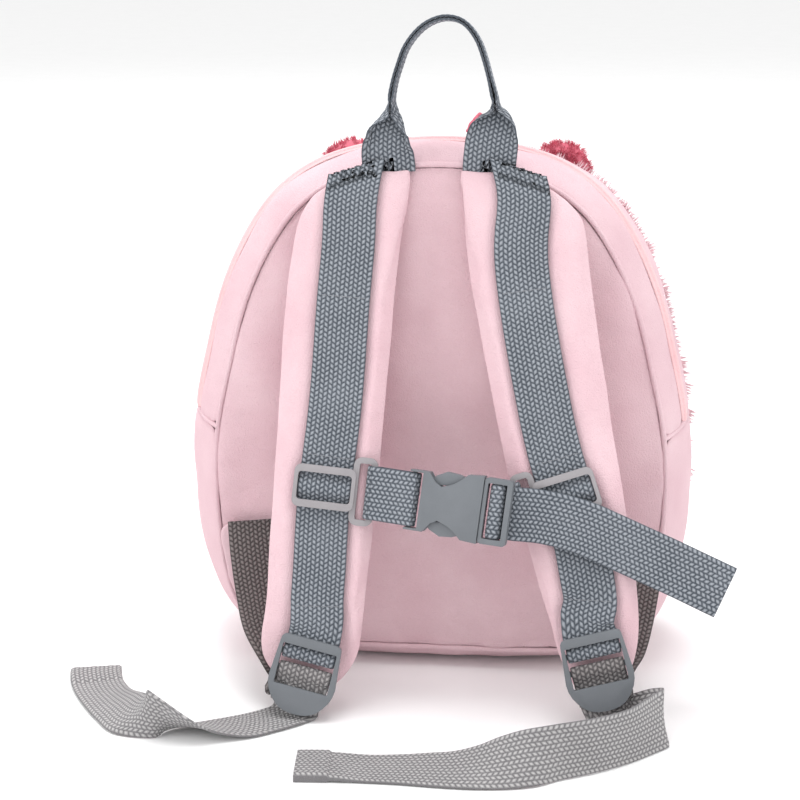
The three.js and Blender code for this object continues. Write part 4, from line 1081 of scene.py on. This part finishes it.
handle = make_tape("woven_handle", HandleCourse(handle_rows()))
cut_on_seam(handle, -0.0355, -0.0120, -0.0004, keep_above=True)
cut_on_seam(handle, 0.0113, 0.0352, -0.0004, keep_above=True)
hand_over(handle, "handle", webbing)

# %% [markdown]
# ## The zip
# A coil zip is a narrow woven tape with a nylon coil down its middle. From a distance the closed
# coil is a row of small loops, one every 1.6 mm. The tape is the frame's own strip, smoothed. One
# loop is modelled, and copies of it are set side by side along the ridge of that strip.


# %% Copies of one model along a row
def scatter(name, model, matrices):
    """One mesh of many copies of a model, each with its own corners."""
    places = [corner.co.copy() for corner in model.data.vertices]
    shapes = [tuple(face.vertices) for face in model.data.polygons]
    corners = []
    faces = []
    for matrix in matrices:
        start = len(corners)
        corners.extend(matrix @ place for place in places)
        faces.extend(tuple(start + index for index in shape) for shape in shapes)
    mesh = bpy.data.meshes.new(name)
    mesh.from_pydata(corners, [], faces)
    thing = bpy.data.objects.new(name, mesh)
    bpy.context.scene.collection.objects.link(thing)
    if model.data.uv_layers:
        source = [loop.uv.copy() for loop in model.data.uv_layers[0].data]
        layer = mesh.uv_layers.new(name="cloth")
        for index, loop in enumerate(layer.data):
            loop.uv = source[index % len(source)]
    smooth_shade(thing)
    return thing


def frame_at(place, along, up):
    """A matrix at place whose X runs along and whose Z points up."""
    x = along.normalized()
    y = up.cross(x).normalized()
    return axes_at(place, x, y, x.cross(y))


def axes_at(place, x, y, z):
    """A matrix at place with the given axes."""
    return Matrix.Translation(place) @ Matrix((x, y, z)).transposed().to_4x4()


def discard(thing):
    bpy.data.objects.remove(thing, do_unlink=True)


# %% Zip tape
ZIP_LINE_Y = -0.0126
RIDGE_HALF = 0.0012
RIDGE_STEP = 0.004
COIL_PITCH = 1.6 * MM
zip_cloth = merged_copy("zip", "cloth_zip")
ridge = {}
for corner in zip_cloth.data.vertices:
    away = corner.co - BAG_CENTRE
    if abs(corner.co.y - ZIP_LINE_Y) < RIDGE_HALF:
        turn = round(math.atan2(away.x, away.z), 2)
        reach = math.hypot(away.x, away.z)
        if turn not in ridge or reach > ridge[turn][0]:
            ridge[turn] = (reach, Vector((corner.co.x, ZIP_LINE_Y, corner.co.z)))
ridge_line = []
for turn in sorted(ridge):
    place = ridge[turn][1]
    if not ridge_line or (place - ridge_line[-1]).length > RIDGE_STEP:
        ridge_line.append(place)
print("zip ridge points", len(ridge_line))
subdivide(zip_cloth, 2)
smooth_shade(zip_cloth)
hand_over(zip_cloth, "zip", zip_tape)

# %% Zip coil
COIL_LOOP = Vector((0.0011, 0.0030, 0.0024))
COIL_SHIFT = 0.00045
COIL_LIFT = 0.0003
bpy.ops.object.select_all(action="DESELECT")
bpy.ops.mesh.primitive_cylinder_add(vertices=6, radius=0.5, depth=1)
coil_loop = bpy.context.object
coil_loop.scale = (COIL_LOOP.x, COIL_LOOP.z, COIL_LOOP.y)
coil_loop.rotation_euler = (math.radians(90), 0, 0)
bpy.ops.object.transform_apply(location=False, rotation=True, scale=True)
apply_modifier(coil_loop, "BEVEL", width=0.0005, segments=2, limit_method="ANGLE")
coil_line = Course(ridge_line, ridge_line, [0.0] * len(ridge_line))
coil_count = int(coil_line.length / COIL_PITCH)
coil_places = []
for count in range(coil_count):
    distance = (count + 0.5) * coil_line.length / coil_count
    here = coil_line.middle(coil_line.place_at(distance))
    ahead = coil_line.middle(coil_line.place_at(min(distance + 0.001, coil_line.length)))
    behind = coil_line.middle(coil_line.place_at(max(distance - 0.001, 0)))
    along = (ahead - behind).normalized()
    up = along.cross(Vector((0, -1, 0))).normalized()
    if up.dot(here - BAG_CENTRE) < 0:
        up = -up
    shift = Vector((0, COIL_SHIFT if count % 2 else -COIL_SHIFT, 0))
    skew = Matrix.Rotation(math.radians(22), 4, "Y")
    coil_places.append(frame_at(here + shift + up * COIL_LIFT, along, up) @ skew)
coil = scatter("zip_coil_loops", coil_loop, coil_places)
discard(coil_loop)
hand_over(coil, None, zip_coil)
print("coil loops", coil_count)

# %% [markdown]
# ## Side tabs and zip pull
# Small folded pieces of the same plush: the frame's solids are subdivided, so their edges roll.

# %% Tabs and pull
for node in ("side_tab_left", "side_tab_right"):
    tab = merged_copy(node, "cloth_" + node)
    subdivide(tab, 2)
    press(tab, lambda place, normal: swell(place, 0.007, 6.0) * 0.0005)
    smooth_shade(tab)
    hand_over(tab, node, plush)

pull = merged_copy("zip_pull", "cloth_zip_pull")
subdivide(pull, 3)
press(pull, lambda place, normal: swell(place, 0.0022, 3.0) * 0.0006)
smooth_shade(pull)
hand_over(pull, "zip_pull", rose_plush)

# %% [markdown]
# ## The furry front
# The front is one domed panel of long-pile plush. The backing is made by hand: a ring is laid on
# the front seam, then extruded and scaled towards the middle five times. The pile is thousands
# of strands, which stand in tufts. One strand is modelled, a tuft is a bunch of its copies, and
# copies of the tuft are combed downwards over the dome and outwards along the rim.

# %% Fur backing
FUR_RINGS = 6
FUR_RING_CORNERS = 96
FUR_DOME = 0.016
FUR_SEAM_Y = 0.0425
DOME_POWER = 2.6
SEAM_SLACK = 0.0008
TURN_SLACK = 0.06
PLAIN_REACH = 0.12
PANEL_MIDDLE = Vector((0, 0, 0.131))
strip_corners = []
for node in ("gusset_lower", "gusset_upper_front"):
    for corner in bpy.data.objects[node].data.vertices:
        if corner.co.y > FRONT_SEAM_Y - SEAM_SLACK:
            strip_corners.append(corner.co.copy())


def front_seam(turn):
    """The place on the front seam at an angle round the panel's middle."""
    best = None
    for place in strip_corners:
        away = place - PANEL_MIDDLE
        error = abs((math.atan2(away.x, away.z) - turn + math.pi) % (2 * math.pi) - math.pi)
        if error < TURN_SLACK and (best is None or math.hypot(away.x, away.z) > best):
            best = math.hypot(away.x, away.z)
    return best or PLAIN_REACH


bpy.ops.object.select_all(action="DESELECT")
bpy.ops.mesh.primitive_circle_add(vertices=FUR_RING_CORNERS, radius=1)
backing = bpy.context.object
backing.name = "fur_backing"
for corner in backing.data.vertices:
    turn = math.atan2(corner.co.x, corner.co.y)
    reach = front_seam(turn)
    corner.co = PANEL_MIDDLE + Vector((math.sin(turn) * reach, 0, math.cos(turn) * reach))
    corner.co.y = FUR_SEAM_Y
pick(backing)
bpy.ops.object.mode_set(mode="EDIT")
bpy.ops.mesh.select_all(action="SELECT")
for ring in range(1, FUR_RINGS):
    shrink = (FUR_RINGS - ring) / (FUR_RINGS - ring + 1)
    bpy.ops.mesh.extrude_region_move()
    bpy.ops.transform.resize(value=(shrink, 1, shrink), center_override=PANEL_MIDDLE)
bpy.ops.mesh.extrude_region_move()
bpy.ops.mesh.merge(type="CENTER")
bpy.ops.mesh.select_all(action="SELECT")
bpy.ops.mesh.remove_doubles(threshold=0.00001)
bpy.ops.mesh.normals_make_consistent(inside=False)
bpy.ops.object.mode_set(mode="OBJECT")
for corner in backing.data.vertices:
    away = corner.co - PANEL_MIDDLE
    turn = math.atan2(away.x, away.z)
    share = min(math.hypot(away.x, away.z) / front_seam(turn), 1.0)
    corner.co.y = FUR_SEAM_Y + FUR_DOME * (1 - share ** DOME_POWER)
subdivide(backing, 1)
facing = sum(face.normal.y for face in backing.data.polygons)
if facing < 0:
    backing.data.flip_normals()
smooth_shade(backing)
hand_over(backing, None, fur_backing)


# %% Fur finish
def fur_finish(name, root, middle, tip):
    """Pile that is darker at its roots and pale at its tips, by the strand's own map."""
    finish = Finish(name, Sheen_Weight=0.4, Sheen_Roughness=0.4, Specular_IOR_Level=0.2)
    finish.shader.inputs["Sheen Tint"].default_value = tip
    across, along = finish.across_and_along()
    patch = finish.speckle(0.03, detail=2)
    low = finish.blend((along * 2.2).limited(), root, middle)
    share = ((along - 0.4) * 1.5 + (patch - 0.5) * 0.6).limited()
    finish.colour(finish.blend(share, low, tip))
    finish.rough(0.8 - along * 0.1)
    return finish.material


fur = fur_finish("fur", rgb(232, 190, 198), rgb(244, 218, 223), rgb(254, 248, 248))
rose_fur = fur_finish("rose_fur", rgb(206, 96, 116), rgb(228, 142, 158), rgb(244, 206, 212))

# %% One strand and its tufts
STRAND_RINGS = 3


def model_strand(length, width):
    """A three-sided strand along Z that narrows to a point, mapped from root to tip."""
    bpy.ops.object.select_all(action="DESELECT")
    bpy.ops.mesh.primitive_circle_add(vertices=3, radius=width / 2)
    strand = bpy.context.object
    bpy.ops.object.mode_set(mode="EDIT")
    bpy.ops.mesh.select_all(action="SELECT")
    for shrink in (0.9, 0.7):
        lift = {"value": (0, 0, length / STRAND_RINGS)}
        bpy.ops.mesh.extrude_region_move(TRANSFORM_OT_translate=lift)
        bpy.ops.transform.resize(value=(shrink, shrink, 1))
    lift = {"value": (0, 0, length / STRAND_RINGS)}
    bpy.ops.mesh.extrude_region_move(TRANSFORM_OT_translate=lift)
    bpy.ops.mesh.merge(type="CENTER")
    bpy.ops.mesh.select_all(action="SELECT")
    bpy.ops.mesh.normals_make_consistent(inside=False)
    bpy.ops.object.mode_set(mode="OBJECT")
    return strand


def model_tuft(name, count, length, width, spread, droop):
    """A bunch of strands that lean together and fan out a little."""
    strand = model_strand(length, width)
    turns = []
    for index in range(count):
        turn = 2.4 * index
        reach = spread * math.sqrt((index + 0.5) / count)
        foot = Vector((math.cos(turn) * reach, math.sin(turn) * reach, 0))
        size = random.uniform(0.72, 1.08)
        lean = Matrix.Rotation(random.uniform(0.0, 0.22), 4, Vector((-foot.y, foot.x, 0.0001)))
        turns.append(Matrix.Translation(foot) @ lean @ Matrix.Scale(size, 4))
    tuft = scatter(name, strand, turns)
    discard(strand)
    layer = tuft.data.uv_layers.new(name="cloth")
    for loop in tuft.data.loops:
        rise = tuft.data.vertices[loop.vertex_index].co.z / length
        layer.data[loop.index].uv = (0.5, min(rise, 1.0))
    for corner in tuft.data.vertices:
        rise = corner.co.z / length
        corner.co.x += droop * rise * rise
    return tuft


# %% Fur tufts on the dome
FACE_TUFTS = 900
FACE_STRAY = 0.22
GOLDEN_TURN = 2.39996
FLOOR_BEND_Z = 0.016
FUR_FLOOR = 0.0006
face_tuft = model_tuft("face_tuft", 9, 0.015, 0.0011, 0.0034, 0.005)


def dome_place(turn, share):
    reach = front_seam(turn) * share
    rise = FUR_DOME * (1 - share ** DOME_POWER)
    return PANEL_MIDDLE + Vector((math.sin(turn) * reach, FUR_SEAM_Y + rise, math.cos(turn) * reach))


def stray_vector(size=1.0):
    return Vector((random.uniform(-1, 1), random.uniform(-1, 1), random.uniform(-1, 1))) * size


def comb(place, push, side):
    """A tuft's matrix: it stands along push and droops towards side."""
    z = push.normalized()
    x = (side - z * side.dot(z)).normalized()
    return axes_at(place, x, z.cross(x), z)


face_places = []
for index in range(FACE_TUFTS):
    share = 0.985 * math.sqrt((index + 0.5) / FACE_TUFTS)
    turn = (GOLDEN_TURN * index) % (2 * math.pi) - math.pi
    place = dome_place(turn, share)
    away = Vector((math.sin(turn), 0, math.cos(turn)))
    stray = stray_vector(FACE_STRAY)
    push = Vector((0, 0.75, 0)) + away * share * 0.55 + Vector((0, 0, -0.42)) + stray
    down = Vector((0, 0, -1)) + away * 0.3
    if place.z < FLOOR_BEND_Z:
        push = Vector((0, 1.0, 0.15)) + stray
        down = away * 0.6 + Vector((0, 0.4, 0.6))
    face_places.append(comb(place, push, down))
face_fur = scatter("fur_face", face_tuft, face_places)
discard(face_tuft)
hand_over(face_fur, "front_fur_panel", fur)

# %% Fur along the rim
RIM_TUFTS = 560
RIM_LAID = 0.8
RIM_STRAY = 0.2
rim_tuft = model_tuft("rim_tuft", 8, 0.0115, 0.0010, 0.0022, 0.002)
rim_places = []
for index in range(RIM_TUFTS):
    turn = 2 * math.pi * (index + random.uniform(-0.3, 0.3)) / RIM_TUFTS - math.pi
    place = dome_place(turn, random.uniform(0.975, 1.0))
    place.y = FUR_SEAM_Y + random.uniform(0.0, 0.0045)
    away = Vector((math.sin(turn), 0, math.cos(turn)))
    stray = stray_vector(RIM_STRAY)
    laid = RIM_LAID * max(away.z, 0.0) ** 2
    push = away * (1 - laid) + Vector((0, random.uniform(0.0, 0.5) + laid, 0)) + stray
    down = Vector((0, 0.3, -0.6))
    if place.z < 0.02:
        push = away * 0.35 + Vector((0, 0.8, 0)) + stray * 0.6
        down = Vector((0, 0.6, 0.2))
    size = random.uniform(0.75, 1.05)
    rim_places.append(comb(place, push, down) @ Matrix.Scale(size, 4))
rim_fur = scatter("fur_rim", rim_tuft, rim_places)
discard(rim_tuft)
for pile in (rim_fur, face_fur):
    for corner in pile.data.vertices:
        corner.co.z = max(corner.co.z, FUR_FLOOR)
hand_over(rim_fur, None, fur)

# %% [markdown]
# ## Ears
# Each ear is a small stuffed plush form with short rose fluff. The form is the frame's solid,
# subdivided, and short tufts stand on it along its normals.

# %% Ears with fluff
EAR_TUFTS = 240
EAR_STRAY = 0.35
ear_tuft = model_tuft("ear_tuft", 7, 0.0028, 0.0006, 0.0012, 0.0008)
for node in ("ear_left", "ear_right"):
    stuffed = merged_copy(node, "plush_" + node)
    subdivide(stuffed, 2)
    smooth_shade(stuffed)
    faces = list(stuffed.data.polygons)
    picked = random.sample(faces, min(EAR_TUFTS, len(faces)))
    places = []
    for face in picked:
        stray = stray_vector()
        push = face.normal + stray * EAR_STRAY
        places.append(comb(face.center, push, stray))
    fluff = scatter("fluff_" + node, ear_tuft, places)
    hand_over(stuffed, node, rose_plush)
    hand_over(fluff, None, rose_fur)
discard(ear_tuft)

# %% [markdown]
# ## Stitches
# Rows of thread across the webbing hold it to the pads. One stitch is modelled as a short rounded
# bar, and copies of it are set on the tapes, at the distance along each course where the
# photograph shows them.

# %% One stitch
STITCH_LENGTH = 2.3 * MM
STITCH_WIDTH = 0.5 * MM
thread = plastic_finish("thread", rgb(150, 152, 158), rgb(96, 99, 106))
bpy.ops.object.select_all(action="DESELECT")
bpy.ops.mesh.primitive_cylinder_add(vertices=6, radius=STITCH_WIDTH / 2, depth=STITCH_LENGTH)
stitch = bpy.context.object
stitch.rotation_euler = (0, math.radians(90), 0)
bpy.ops.object.transform_apply(location=False, rotation=True, scale=True)
apply_modifier(stitch, "BEVEL", width=STITCH_WIDTH * 0.35, segments=2, limit_method="ANGLE")


def stitch_row(course, distance, outer, inset=1.6 * MM):
    """Matrices of a row of stitches across a tape at a distance along it."""
    spot, width, thick = course.section(distance)
    count = max(2, int((width - 2 * inset) / (STITCH_LENGTH * 1.25)))
    row = []
    for index in range(count):
        reach = (index + 0.5) / count * (width - 2 * inset) - width / 2 + inset
        here = spot(reach, outer * thick / 2)
        up = (here - spot(reach, 0)).normalized()
        across = spot(reach + 0.001, outer * thick / 2) - here
        row.append(frame_at(here - up * 0.00003, across, up))
    return row


def distance_at_height(course, height):
    """The first distance along a course at which its middle is as high as height."""
    steps = 400
    best = 0.0
    error = 1.0
    for count in range(steps + 1):
        distance = course.length * count / steps
        gap = abs(course.middle(course.place_at(distance)).z - height)
        if gap < error:
            error = gap
            best = distance
    return best


def outer_side(course, distance):
    """One if a tape's upper face looks away from the bag there, else minus one."""
    spot = course.section(distance)[0]
    return 1 if (spot(0, 0.001) - spot(0, 0)).dot(STRAP_OUT) > 0 else -1


# %% Stitch rows
SHOULDER_ROWS = {
    "shoulder_webbing_left": (0.193, 0.120, 0.052),
    "shoulder_webbing_right": (0.197, 0.122, 0.059),
}
stitch_places = []
for node, heights in SHOULDER_ROWS.items():
    course = courses[node]
    for height in heights:
        distance = distance_at_height(course, height)
        stitch_places += stitch_row(course, distance, outer_side(course, distance))
stitches = scatter("thread_rows", stitch, stitch_places)
discard(stitch)
hand_over(stitches, None, thread)
